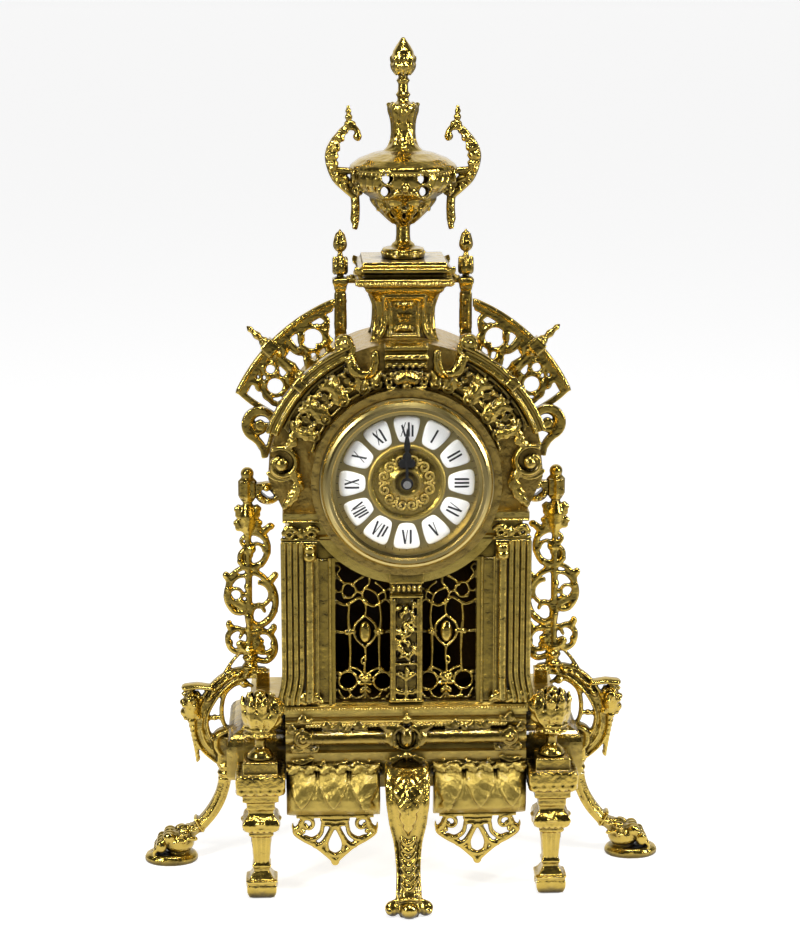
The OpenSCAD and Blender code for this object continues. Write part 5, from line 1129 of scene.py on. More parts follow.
def grille():
    y = -19.8
    w = 0.95
    shapes = []
    run = lambda pts, wide=w, deep=1.5: shapes.append(strand(smooth_path(flat(pts, y)), wide, deep,
        sides=8))
    ring = lambda c, rx, rz, wide=w: shapes.append(strand(
        [(c[0] + rx * cos(t), y, c[1] + rz * sin(t)) for t in np.linspace(0, 2 * pi, 22)], wide, 1.5,
        sides=8, round_ends=False))
    # egg boss in its pointed ring
    shapes += [orb((27, y - 1.4, 181.5), (4, 2.6, 7.4), 18, 12)]
    run([(27, 192.6), (33, 187), (34.4, 181.5), (32.4, 176), (27, 170.6)], 1.1)
    run([(27, 192.6), (21, 187), (19.6, 181.5), (21.6, 176), (27, 170.6)], 1.1)
    # uprights and their links
    for x, bow in ((37.4, 0.8), (17.2, -0.8)):
        run([(x, 201), (x + bow, 190), (x, 181.5), (x - bow * 0.6, 168), (x, 154.5)],
            [0.9, 1.1, 1.4, 1, 0.9])
    for a, b in ((34, 47.6), (20, 9.6)):
        run([(a, 181.5), ((a + b) / 2, 181), (b, 181.8)], [1.6, 1, 1.5])
        shapes.append(orb(((a * 0.62 + b * 0.38), y - 1, 181.4), (2.1, 1.7, 2.1), 10, 6))
    run([(47.6, 203), (41, 200), (37.4, 201), (31, 204.6), (27, 202), (22, 199), (17.2, 201), (13, 203.6),
            (9.6, 201)], [1.6, 1, 1.3, 1, 1.3, 1, 1.3, 1, 1.5])
    run([(27, 202), (26.4, 197), (27, 192.6)], [1.2, 0.8, 1])
    shapes.append(orb((27, y - 1, 202.4), (1.9, 1.6, 1.9), 10, 6))
    # upper webbing that dies into the round skirt
    run([(42.4, 209.8), (40, 214.6), (35, 214), (33, 209.4), (36, 205.4), (41, 205.6), (42.4, 209.8)], 1.0)
    run([(47.6, 221), (44, 217.6), (40, 214.4)], [1.5, 0.9, 1])
    run([(42.4, 209.8), (45, 209), (47.6, 210.6)], [1, 0.8, 1.3])
    run([(47.6, 229), (43.6, 225.6), (45.4, 221.4), (43, 218)], [1.3, 0.9, 0.9, 0.7])
    run([(35, 214), (32, 217), (28, 219.4)], [1, 0.8, 1.2])
    run([(33, 209.4), (29, 208.4), (27, 211.4), (24.4, 214.4), (24, 217.4)], [1, 0.8, 1, 0.8, 1.2])
    run([(27, 202), (28.4, 205.4), (29, 208.4)], [1, 0.8, 0.9])
    run([(17.2, 201), (18.6, 206), (22, 209.4), (27, 211.4)], [1, 0.8, 0.8, 0.9])
    run([(13, 203.4), (13.6, 208), (16.6, 212.6), (19.8, 215)], [1.1, 0.8, 0.8, 1.1])
    run([(9.6, 211), (13.6, 209.6), (18.6, 206.4)], [1.3, 0.8, 0.8])
    for p in ((29, 208.4), (35.2, 213.8), (14, 209.4), (40.6, 205.8)):
        shapes.append(orb((p[0], y - 0.8, p[1]), (1.6, 1.4, 1.6), 8, 5))
    # lower rings, spray and small leaves
    for c in ((38.6, 147.6), (15.2, 147)):
        ring(c, 6.2, 6.4, 1.05)
        run([(c[0], c[1] + 6.4), (c[0] - 0.4, 154),
                (c[0] + (37.4 - c[0] if c[0] > 27 else 17.2 - c[0]), 157)], [1, 1.1, 1])
        for k in (20, 140, 250):
            t = radians(k)
            shapes.append(orb((c[0] + 6.2 * cos(t), y - 0.7, c[1] + 6.4 * sin(t)), (1.5, 1.4, 1.5), 8, 5))
    run([(27, 170.6), (26.6, 164), (27.4, 157), (27, 151)], [1.2, 0.8, 1, 0.9])
    run([(27, 164.6), (29.4, 162.4), (29, 159.4), (27.2, 160)], [0.8, 0.8, 0.8])
    run([(27, 151), (32, 155.4), (37.4, 157)], [0.9, 0.8, 0.9])
    run([(27, 151), (22, 154.6), (17.2, 156.6)], [0.9, 0.8, 0.9])
    for a, b, big in (((27, 147), (31.4, 152), 2.2), ((27, 147), (22.6, 152), 2.2),
            ((27, 146), (32.6, 145.4), 2), ((27, 146), (21.6, 145), 2), ((27, 143), (30.6, 138.6), 2),
            ((27, 143), (23.4, 138.4), 2)):
        shapes.append(leaf([(a[0], y - 0.8, a[1]), ((a[0] + b[0]) / 2, y - 1.6, (a[1] + b[1]) / 2 + 0.4),
                (b[0], y - 0.8, b[1])], [big * 0.6, big, big * 0.5], 2, 1.2, 1.1, n=14, m=9))
    for pts in (((27, 139), (31, 134.6), (36, 137), (38, 141)),
            ((27, 139), (23, 134.6), (18, 137), (15.6, 141)), ((45, 141), (43, 136), (47, 134)),
            ((9.4, 140), (12, 136.4), (10, 133.6)), ((27, 134.2), (27, 139), (27, 146))):
        run(pts, [1.1, 0.9, 0.8])
    run([(9.4, 134.4), (20, 133.9), (34, 134.6), (47.6, 134)], [1.5, 1.3, 1.6, 1.4])
    for p in ((12, 136), (18, 136), (31, 135.6), (37, 136.2), (43, 136), (44.6, 153), (9.8, 153.4)):
        shapes.append(orb((p[0], y - 0.7, p[1]), (1.8, 1.4, 1.5), 8, 5))
    run([(47.4, 132.6), (47.5, 180), (47.3, 229)], [1.2, 1.0, 1.2], 1.9)
    run([(9.8, 132.6), (9.6, 180), (9.8, 217)], [1.2, 1.0, 1.2], 1.9)
    return shapes


cast("right_grille_cast", grille(), cast_brass, of=("right_grille",), merge=False, grain=0.45, ease=2,
    mirror=("left_grille_cast", ("left_grille",)))

# ------------------------------------------------------------------ hood and drum
# The hood is a plain arched casting, a darker brown behind the foliage from patina and painted shade; the
# drum that carries the dial is spun brass, red-brown in its hollows from patina and painted shade.

# a darker copy of brass for the hood behind the foliage: patina and painted shade
patina_and_shade_brass = brass_finish("patina_and_shade_brass", (0.40, 0.255, 0.046), (0.018, 0.008, 0.001), 0.18, pits=0.3,
    wave=1.2, coat=0.0)
drum_brass = brass_finish("drum_brass", (0.52, 0.34, 0.060), (0.03, 0.014, 0.002), 0.11)
dress("hood", patina_and_shade_brass)
dress("drum", drum_brass)

# ------------------------------------------------------------------ tympanum
# Pierced foliage fills the space between the drum and the arch: a stem with turned-over leaves
# and round bosses, and a ball scroll at its foot. Cast brass, screwed on the hood's face.
DIAL = (0.0, 286.0)                                            # its centre, across and up


def at_dial(radius, degrees, y):
    """A point round the dial's centre, degrees from the right."""
    a = radians(degrees)
    return (DIAL[0] + radius * cos(a), y, DIAL[1] + radius * sin(a))


def tympanum():
    y = -24
    shapes = [
        strand([at_dial(64, a, y) for a in np.linspace(18, 80, 36)], 1.6, 2),
        strand([at_dial(86.5, a, y) for a in np.linspace(24, 64, 26)], 1.3, 2)]
    for a in (31, 45, 59):
        cx, _, cz = at_dial(75.5, a, y)
        shapes += [strand([(cx + 6.6 * cos(t), y, cz + 6.6 * sin(t)) for t in np.linspace(0, 2 * pi, 24)],
            1.1, 2.0, round_ends=False)]
        for k in range(3):
            t = radians(a * 3 + 120 * k)
            shapes.append(leaf([(cx + 7 * cos(t), y - 1, cz + 7 * sin(t)),
                    (cx + 5 * cos(t + 0.3), y - 1.8, cz + 5 * sin(t + 0.3)),
                    (cx + 2.6 * cos(t + 0.7), y - 0.8, cz + 2.6 * sin(t + 0.7))], [1.4, 2.2, 0.8], 2, 0.8,
                1.4, n=14, m=9))
        for s in (-1, 1):
            shapes += [
                leaf([
                        at_dial(66, a + s * 3.4, y - 1),
                        at_dial(72, a + s * 6.4, y - 2),
                        at_dial(79, a + s * 6.6, y - 1.5)], [2.6, 3.6, 2], 3, 0.9, 1.7, n=20, m=9),
                leaf([
                        at_dial(84, a + s * 2.5, y - 1),
                        at_dial(80, a + s * 6, y - 2),
                        at_dial(75, a + s * 7.5, y - 1)], [2, 2.8, 1.4], 2, 0.9, 1.4, n=16, m=9),
                strand(coil((at_dial(68.5, a + s * 6.2, y)[0], at_dial(68.5, a + s * 6.2, y)[2]), 2.6, 0.8,
                        a - 90 * s, a - 90 * s + s * 380, y - 1.4, 18), [0.8, 1, 0.8], 1.2, 8)]
        shapes.append(orb(at_dial(84, a + 7, y - 1.4), (1.7, 1.7, 1.7), 8, 5))
        shapes.append(orb(at_dial(67.5, a + 7, y - 1.6), (1.7, 1.7, 1.7), 8, 5))
    # leaves that run on to the crest's foot
    for a in (69.5, 76.5):
        shapes += [
            leaf([at_dial(64, a - 3, y), at_dial(69, a - 2.4, y - 2), at_dial(74.5, a + 1.5, y - 1)],
                [1.8, 3.2, 1.2], 3, 0.9, 1.6, n=20, m=9),
            leaf([at_dial(64, a + 2, y), at_dial(68, a + 3, y - 1.8), at_dial(72, a + 1.6, y - 1)],
                [1.6, 2.8, 1], 2, 0.9, 1.5, n=18, m=9),
            orb(at_dial(70.6, a + 3.6, y - 1.2), (1.5, 1.5, 1.5), 8, 5)]
    for a, turn in ((26, 1), (38, -1), (52, 1), (66, -1), (73, 1)):  # tendrils that reach in to the drum
        x0, _, z0 = at_dial(66, a, y)
        shapes += [
            strand(coil((x0, z0), 3.6, 0.9, a + 90 * turn, a + 90 * turn + turn * 430, y - 1.6, 24),
                [1.1, 1.3, 0.9], 1.6),
            orb((x0, y - 2.4, z0), (1.4, 1.6, 1.4), 8, 5)]
    # the scroll at the foot of the arch, with its ball and hanging leaf
    c = (81, 297)
    shapes += [
        strand(coil(c, 11, 5.2, 60, 420, y, 40), [2, 2.2, 1.6], 3),
        orb((c[0], y - 1.6, c[1]), (4.8, 4.2, 4.8)),
        strand(smooth_path(flat([(73, 291), (70.4, 284), (74.5, 276), (79, 268)], y)), [2.4, 3, 3, 2], 2.6),
        leaf([(72.5, y - 1.6, 292), (70.6, y - 2, 283), (75, y - 1.6, 274), (79.5, y - 1, 267)],
            [3, 4.4, 4, 1.6], 4, 1, 1.8),
        leaf([(78.5, y - 1, 307), (74, y - 2, 312), (73.5, y - 1.4, 320)], [3, 4.2, 2], 3, 1, 1.8)]
    for k in range(9):
        a = radians(80 + 34 * k)
        r = 10.6 - 4.2 * k / 8
        shapes.append(orb((c[0] + r * cos(a), y - 1.6, c[1] + r * sin(a)), (1.5, 1.5, 1.5), 8, 5))
    return shapes


shaded_brass = brass_finish("shaded_brass", (0.62, 0.435, 0.080), (0.014, 0.007, 0.001), 0.15,
    shade_and_wear=(0.85, 1.32), hollow=0.007)
cast("right_tympanum_cast", tympanum(), shaded_brass, of=("right_tympanum",), grain=0.6, ease=1,
    mirror=("left_tympanum_cast", ("left_tympanum",)))

# ------------------------------------------------------------------ arch and its volutes
# A moulded arch in two lengths springs from the drum's shoulders and curls into a volute
# under the crest; a square clamp block crosses each length.


def arch():
    shapes = [
        strand([at_dial(95.6, a, -29.4) for a in np.linspace(20.5, 66, 50)], 1.5, 1.8, sides=8),
        strand([at_dial(90, a, -29.2) for a in np.linspace(20.5, 64, 50)], 1.0, 1.4, sides=8),
        strand(coil((39.5, 376.5), 5.4, 1.6, -30, 500, -27, 40), [1.8, 1.6, 1.2], 4),
        orb((39.5, -29.5, 376.5), (2.4, 2.4, 2.4)),
        strand(smooth_path(flat(
                [(37.5, 373), (37, 364), (34, 357.4), (28, 354.6), (22.4, 356.6), (19.6, 363), (19.5, 370)],
                -25)), [2.4, 3, 3.2, 3, 2], 3),
        strand(smooth_path(flat(
                [(35.2, 372), (34.8, 364), (32.4, 359), (28, 357), (23.6, 359), (21.8, 364), (21.6, 369)],
                -28.2)), 0.9, 1.2),
        leaf([(36, -29, 369), (35, -29.5, 361), (29, -29.5, 356.4), (22.5, -29, 358)], [2.4, 3.6, 3, 1.4],
            3, 1, 1.4)]
    return shapes


cast("right_arch_cast", arch(), cast_brass, of=("right_arch",), grain=0.65, ease=1,
    mirror=("left_arch_cast", ("left_arch",)))

# ------------------------------------------------------------------ pierced wings and ears
# Behind the arch an openwork wing of leafy scrolls runs from the post down to a curled ear,
# crossed by a turned baluster. Cast brass, pinned to the hood.


def wing():
    y = 10
    shapes = [
        strand([at_dial(121.6, a, y) for a in np.linspace(26, 67, 40)], 1.9, 2.8),
        strand([at_dial(116.6, a, y) for a in np.linspace(27, 66, 40)], 1.1, 2.2)]
    for spot, r in (((106.5, 55.5), 8.6), ((102, 33.5), 6.8), ((111, 37.5), 4.6)):
        c = at_dial(*spot, y)
        shapes.append(strand(
            [(c[0] + r * cos(t), y, c[2] + r * sin(t)) for t in np.linspace(0, 2 * pi, 26)], 1.3, 2.2,
            round_ends=False))
        for k in range(4):
            t = radians(20 + 90 * k)
            shapes.append(orb((c[0] + r * cos(t), y, c[2] + r * sin(t)), (2.1, 2.9, 2.1), 10, 6))
    for run in (((119, 50), (112, 47.5), (105, 48), (99, 51), (94, 48)),
            ((118, 62), (112, 63.5), (104, 60.5), (95, 58)),
            ((118, 31), (110, 32), (104, 29), (97, 27), (93, 29)),
            ((96, 40), (103, 41.5), (111, 42.5), (118, 41)), ((117, 56), (113, 58), (110, 61.5)),
            ((95, 53), (100, 56), (99, 61)), ((116, 35), (112.5, 33), (110, 29.5)),
            ((94, 35), (97.5, 38), (101, 41))):
        path = smooth_path([at_dial(r, a, y) for r, a in run])
        shapes.append(strand(path, [1.1, 1.5, 1.1], 2))
        tip = path[-1]
        shapes.append(orb(tuple(tip), (1.9, 2.4, 1.9), 10, 6))
    for a0, r0 in ((52, 112), (59, 101), (30, 113), (38, 98), (45, 113), (48, 97)):
        for out in (-1, 1):
            shapes.append(leaf([
                    at_dial(r0 - 3.5, a0 - 1, y + out),
                    at_dial(r0, a0 + 1, y + out * 1.6),
                    at_dial(r0 + 3.5, a0 + 0.5, y + out)], [2, 3, 1.4], 2, 0.8, 1.2, face=(0, out, 0), n=14,
                m=9))
    return shapes


cast("right_wing_cast", wing(), cast_brass, of=("right_fret",), grain=0.65, ease=1,
    mirror=("left_wing_cast", ("left_fret",)))


def ear():
    y = 5
    shapes = [
        strand(coil((95.5, 317.5), 9.8, 4, 205, -160, y, 40), [2.6, 2.8, 1.8], 2.7),
        orb((95.5, y, 317.5), (3.4, 2.7, 3.4)),
        strand(smooth_path(flat([(98.6, 308.5), (94.6, 302.4), (91.8, 296.4)], y)), [2.2, 2.6, 1.6], 2.6)]
    for k in range(7):
        a = radians(-80 + 38 * k)
        shapes.append(orb((95.5 + 9.9 * cos(a), y - 0.4, 317.5 + 9.9 * sin(a)), (2.1, 2.3, 2.1), 8, 5))
    return shapes


cast("right_ear_cast", ear(), cast_brass, of=("right_ear",), grain=0.65, ease=1,
    mirror=("left_ear_cast", ("left_ear",)))

# ------------------------------------------------------------------ urn
# A pierced urn on a turned foot: gadrooned bowl with a band of round openings, a domed lid
# with a fluted neck and a leaf bud, and two leaf-stem handles. Cast in parts and screwed.


def round_urn(radius, degrees, z):
    """A point round the urn's axis, degrees from the right."""
    a = radians(degrees)
    return (radius * cos(a), 20 + radius * sin(a), z)


def urn_bowl():
    wall = [(14.2, 0.2), (14.4, 2.4), (13.6, 3.4), (14.2, 4.6), (13.4, 6.4), (8, 7.2), (7.4, 9), (5, 11),
        (4.6, 15), (4.6, 21), (6.6, 22.6), (5, 24.4), (7.6, 27), (12.4, 30.6), (17, 34.6), (20.4, 38.6),
        (25, 41.6), (30.4, 45), (34, 49.4), (34.7, 53), (34.4, 57.2), (32.4, 57.2), (32.6, 53), (31.8, 50),
        (28.6, 47), (23.4, 43.8), (18.6, 40.6), (14, 36), (9, 31.6), (1, 30)]
    shapes = [turning((0, 20, 426), wall, 96)]
    shapes += [leaf([
                round_urn(6, d, 448.6),
                round_urn(13, d, 455),
                round_urn(19.4, d, 462),
                round_urn(21.6, d, 466.6)], [1.8, 3.8, 4.6, 1.6], 3, 0.8, 1.3,
            face=(cos(radians(d)), sin(radians(d)), -0.8), n=26, m=11) for d in range(0, 360, 36)]
    shapes += [orb(round_urn(17.4, d + 18, 458.4), (1.5, 1.5, 2), 8, 5) for d in range(0, 360, 36)]
    # gadroons, left out round each flower of openings
    for d in range(0, 360, 10):
        if abs((d + 45) % 90 - 45) > 24:
            shapes.append(strand(smooth_path([
                    round_urn(28, d, 470),
                    round_urn(33.4, d + 3, 474.6),
                    round_urn(34.8, d + 6, 480)]), [0.5, 0.9, 0.5], 0.7,
                face=(cos(radians(d)), sin(radians(d)), 0)))
    # the flower's petals round its four openings
    for middle in (0, 90, 180, 270):
        c, s = cos(radians(middle)), sin(radians(middle))
        for spread, z in ((-20, 480.8), (20, 480.8), (-23, 472.4), (23, 472.4)):
            r = 34.6 if z > 478 else 32.2
            x, y, _ = round_urn(r, middle + spread * 0.95, z)
            shapes.append(strand([(x - s * 4.7 * cos(t), y + c * 4.7 * cos(t), z + 4.5 * sin(t))
                    for t in np.linspace(0, 2 * pi, 20)], 0.8, 1.1, face=(c, s, 0), round_ends=False))
        shapes += [
            orb(round_urn(33.8, middle, 474.6), (2.6, 2.6, 3.4), 12, 8),
            leaf([
                    round_urn(30.6, middle, 470),
                    round_urn(33.2, middle - 9, 471.4),
                    round_urn(32.4, middle - 17, 468)], [1.4, 2.4, 1], 2, 0.8, 1.2, face=(c, s, 0), n=16,
                m=9),
            leaf([
                    round_urn(30.6, middle, 470),
                    round_urn(33.2, middle + 9, 471.4),
                    round_urn(32.4, middle + 17, 468)], [1.4, 2.4, 1], 2, 0.8, 1.2, face=(c, s, 0), n=16,
                m=9)]
    return shapes


def urn_openings():
    """Bores through both walls, along and across the clock, that fall a little to the back."""
    shapes = []
    for way, fall in ((0, -0.1), (90, 0)):
        c, s = cos(radians(way)), sin(radians(way))
        for across, z, r in ((-11.4, 480.9, 3.6), (11.4, 480.9, 3.6), (-12.4, 472.5, 3.2),
                (12.4, 472.5, 3.2)):
            ends = [(c * across - s * k, 20 + s * across + c * k, z + fall * (k + 33)) for k in (-45, 45)]
            shapes.append(strand(ends, r, r, sides=18, face=(0, 0, 1), round_ends=False))
    return shapes


cast("urn_bowl_cast", urn_bowl(), cast_brass, of=("urn_bowl",), merge=False, grain=0.6, ease=1,
    cuts=urn_openings())
set_out("urn_foot_bead", bead_ring, cast_brass, Centre=(0.0, 20.0, 429.4), Tilt=0.0, Radius=13.9, Count=26,
    Bead=(1.0, 1.5, 1.1))
set_out("urn_rim_bead", bead_ring, cast_brass, Centre=(0.0, 20.0, 482.8), Tilt=0.0, Radius=34.3, Count=76,
    Bead=(0.8, 1.25, 0.9))


def urn_lid():
    shapes = []
    for t in np.linspace(0, 2 * pi, 21)[:-1]:
        c, s = cos(t), sin(t)
        shapes.append(strand(smooth_path([(31 * c, 20 + 31 * s, 486), (23 * c, 20 + 23 * s, 490.5),
                (14.5 * c, 20 + 14.5 * s, 494.4)]), [2.6, 2.2, 1.2], [1.1, 1.1, 0.8], face=(0, 0, 1)))
    for t in np.linspace(0, 2 * pi, 9)[:-1]:
        c, s = cos(t), sin(t)
        put = lambda r, z: (r * c, 20 + r * s, z)
        shapes += [
            leaf([put(10, 496.5), put(7.2, 505), put(7.6, 516), put(10.5, 524.4)], [2.2, 3, 3, 2], 3, 0.8,
                1.1, face=(c, s, 0), n=24, m=9),
            leaf([put(3.4, 544.6), put(6.6, 549), put(6.9, 553.4), put(8.2, 557)], [1.6, 2.9, 2.4, 0.7], 3,
                0.9, 1.5, face=(c, s, 0.2), n=20, m=9),
            leaf([put(5.4, 553), put(5.8, 557), put(4.2, 561), put(2.4, 565)], [1.4, 2.2, 1.7, 0.6], 3, 0.9,
                1.3, face=(c, s, 0.3), n=18, m=9),
            orb(put(9.2, 525.6), (1.9, 1.9, 1.5), 8, 5)]
    return shapes


cast("urn_lid_cast", urn_lid(), cast_brass, of=("urn_lid",), grain=0.6, ease=1)


def handle():
    y = 20
    stem = smooth_path(flat(
        [(29.6, 504.4), (30, 508.6), (33.6, 512), (38.4, 510.6), (42.6, 506.6), (47.4, 500), (49.4, 493),
            (48, 485), (44, 477), (37, 470.6), (31.4, 466)], y))
    shapes = [
        strand(stem, [2.6, 2, 1.9, 1.6, 1.5, 1.6, 1.8, 2, 2.3, 2.6, 2.6],
            [2.6, 2.2, 2, 1.8, 1.8, 2, 2.2, 2.4]),
        leaf(flat([(48, 487), (42.4, 479.6), (33, 474)], y), [1.6, 4.6, 2], 2, 1.4, 2.4, n=20, m=9),
        orb((29.8, y, 505), (3, 2.5, 2.8)),
        orb((34.6, y, 513.6), (4, 2.5, 2)),
        orb((35.4, y, 517.6), (2.6, 2.4, 2.4)),
        orb((35.6, y, 521.4), (2.1, 2.1, 2)),
        orb((35.6, y, 524), (1.3, 1.3, 1.3)),
        strand(smooth_path(flat([(47.4, 484), (41, 483.6), (34.4, 482.6)], y)), [2.2, 1.8, 2.4], 2.2),
        strand(smooth_path(flat([(36, 470), (32, 469.4), (28.4, 468.6)], y)), [2.6, 2, 2.2], 2.2),
        strand(smooth_path(flat([(31.6, 467), (31.2, 459), (31.6, 451), (31, 445.4)], y)), [3, 3, 3.2, 1.4],
            [2.4, 2.4, 2.4, 1.4])]
    for k in range(5):                                               # the plaited drop
        for out in (-1, 1):
            z = 464 - 4.2 * k
            shapes.append(leaf(flat([(31.4 - 1.8, z + 2), (31.4, z), (31.4 + 1.8, z - 2.6)], y + out * 1.6),
                [1.2, 2, 0.8], 2, 0.8, 1.2, face=(0, out, 0), n=14, m=9))
    way = np.gradient(stem, axis=0)
    way /= np.linalg.norm(way, axis=1)[:, None]
    # leaf clusters, thickest at the outer middle
    for n in range(15):
        share = 0.24 + 0.047 * n
        full = exp(-((share - 0.56) / 0.2) ** 2)
        k = int(share * len(stem))
        away = np.cross((0, 1, 0), way[k])
        for out in (-1, 1):
            reach, along, w = 2.2 + 4.6 * full, (3.4 if n % 2 else -2.8), 2 + 1.5 * full
            base = stem[k] + np.array([0, out * (0.8 + 1.4 * full), 0])
            tip = np.array([0, out * 1.2 * full, 0])
            shapes.append(leaf([base - away * 1.2, base + away * reach * 0.6 + way[k] * along * 0.3 + tip,
                    base + away * reach + way[k] * along], [w * 0.7, w, w * 0.35], 3, 1.2, 1.7,
                face=(0, out, 0), n=18, m=9))
        if full > 0.5:
            shapes.append(orb(stem[k] + away * (1.2 + 2.6 * full) + way[k] * (1.6 if n % 2 else -1.6),
                (1.5, 3, 1.5), 8, 5))
    return [(np.minimum(p, (55.6, 60, 600)), f) for p, f in shapes]


cast("right_handle_cast", handle(), cast_brass, of=("right_handle",), merge=False, grain=0.55, ease=1,
    mirror=("left_handle_cast", ("left_handle",)))

# ------------------------------------------------------------------ crest
# Over the dial a leaf shell between two scrolls stands on the arch, under a stepped corbel with
# two rows of beads. It is one brass casting, screwed on the hood's face, and carries the tower.


def crest():
    shapes = []
    for k in range(-4, 5):
        a = 90 + 13 * k
        c, s = cos(radians(a)), sin(radians(a))
        shapes.append(leaf([(2.4 * c, -30.4, 349 + 2.4 * s), (6.6 * c, -32, 349 + 5.6 * s),
                (11.4 * c, -29.6, 349 + 10.4 * s)], [1.6, 2.8, 1.5], 1, 0.9, 1.5, n=16, m=9))
    shapes += [orb((0, -31, 348.6), (3.2, 2.6, 2.6))]
    for s in (-1, 1):
        shapes += [
            strand(coil((s * 10.6, 351), 3.4, 1, 90 + s * 90, 90 + s * 90 - s * 400, -28, 24), [1.2, 1],
                2.4),
            leaf([(s * 4, -29.5, 347.8), (s * 9, -30.4, 346.4), (s * 13.4, -29, 348.4)], [1.4, 2.4, 1], 2,
                0.8, 1.3, n=14, m=9)]
    for z, half in ((361.5, 12.6), (367, 13.4)):
        for k in range(7):
            shapes.append(orb((-half + half / 3 * k, -28.6, z), (1.4, 1.3, 1.4), 8, 5))
    return shapes


cast("crest_cast", crest(), cast_brass, of=("crest",), grain=0.6, ease=1)

# ------------------------------------------------------------------ tower
# A square hollow casting that flares out under the cap. Each side has a long framed panel in low
# relief, and its frame sweeps out over the hood at the foot.
TOWER_RISE = [372.3, 375, 380, 388, 396, 400, 403.5, 406.5, 408.9]
TOWER_HALF = [21.5, 19.8, 18.7, 18.3, 18.5, 19.6, 21.8, 25.2, 26.3]


def tower_half(z):
    """Half the tower's width at a height."""
    return float(np.interp(z, TOWER_RISE, TOWER_HALF))


def tower():
    rings = []
    for z in TOWER_RISE:
        h = tower_half(z)
        square = [(1, -0.94), (1, 0.94), (0.94, 1), (-0.94, 1), (-1, 0.94), (-1, -0.94), (-0.94, -1),
            (0.94, -1)]
        rings.append([(h * a, 20 + h * b, z) for a, b in square])
    shapes = [skin(rings)]
    for side in range(4):
        c, s = cos(side * pi / 2), sin(side * pi / 2)

        def put(u, z, off):
            d = tower_half(z) + off
            return (c * u + s * d, 20 + s * u - c * d, z)

        out = (s, -c, 0)
        for w in (-1, 1):
            shapes += [
                strand(smooth_path([put(w * 9.2, z, 0.4) for z in (376, 384, 392, 400.6)]), 0.9, 1.1,
                    face=out),
                strand(smooth_path([
                        put(w * 12.6, 402.6, 0.5),
                        put(w * 12.6, 394, 0.7),
                        put(w * 12.8, 384, 0.7),
                        put(w * 15.4, 377, 0.7),
                        put(w * 19.4, 373, 0.4)]), [1.7, 1.5, 1.5, 1.7, 1.5], 1.5, face=out),
                leaf([put(w * 1, 380, 0.4), put(w * 3.6, 381.4, 1), put(w * 6, 379.4, 0.4)],
                    [0.9, 1.6, 0.6], 2, 0.8, 1, face=out, n=14, m=9),
                leaf([put(w * 0.6, 396, 0.4), put(w * 3, 397.6, 1), put(w * 5.4, 395.6, 0.4)],
                    [0.9, 1.7, 0.7], 2, 0.8, 1, face=out, n=14, m=9)]
        shapes += [
            strand([put(u, 400.8, 0.5) for u in (-9.4, 0, 9.4)], 0.9, 1.1, face=out),
            strand([put(u, 403, 0.6) for u in (-13, 0, 13)], 1.3, 1.4, face=out),
            strand([put(u, 376.4, 0.5) for u in (-9.4, 0, 9.4)], 1.1, 1.2, face=out),
            strand([put(u, 390, 0.3) for u in (-3.6, 0, 3.6)], 0.7, 0.9, face=out),
            strand([put(u, 387.4, 0.3) for u in (-2.6, 0, 2.6)], 0.6, 0.8, face=out),
            leaf([put(0, 394.6, 0.4), put(0, 397, 1.2), put(0, 399.4, 0.5)], [1.2, 2.2, 0.9], 2, 0.8, 1.1,
                face=out, n=14, m=9),
            leaf([put(0, 380, 0.4), put(0, 382, 1.2), put(0, 384.6, 0.5)], [1.1, 2, 0.8], 2, 0.8, 1.1,
                face=out, n=14, m=9)]
    return shapes


cast("tower_cast", tower(), cast_brass, of=("tower",), merge=False, grain=0.6, ease=1)

# ------------------------------------------------------------------ tower cap
# A moulded square cap with a bead under its edge and a dished top that takes the urn's foot.
# Straps at its sides hold the posts, and its corners turn up.


def cap_corners():
    shapes = []
    for s in (-1, 1):
        for t in (-1, 1):
            shapes.append(leaf([(s * 26, 20 + t * 26, 417), (s * 29.6, 20 + t * 29, 419.4),
                    (s * 32.6, 20 + t * 30.4, 423.6)], [3, 3.6, 1.2], 2, 1.2, 1.4, face=(s, t, 0.6), n=18,
                m=9))
        shapes += [
            strand([(s * 29, 18, 411.6), (s * 36.8, 20, 411.6)], 1.6, 2.6),
            orb((s * 34, 18.6, 413.4), (1.8, 2, 1.8))]
    return shapes


cast("tower_cap_cast", cap_corners(), cast_brass, of=("tower_cap",), grain=0.6, ease=1)
for number, (start, end) in enumerate((((-29.6, -11.1), (29.6, -11.1)), ((-29.6, 51.1), (29.6, 51.1)),
        ((-31.1, -9.6), (-31.1, 49.6)), ((31.1, -9.6), (31.1, 49.6)))):
    set_out("cap_bead_%d" % (number + 1), bead_row, cast_brass, Start=(*start, 412.4), End=(*end, 412.4),
        Count=26, Bead=(1.25, 1.25, 1.6), Lean=24.0)

# ------------------------------------------------------------------ tower posts
# Slim square posts stand beside the tower on the hood, each with a two-tier leaf bud on top.


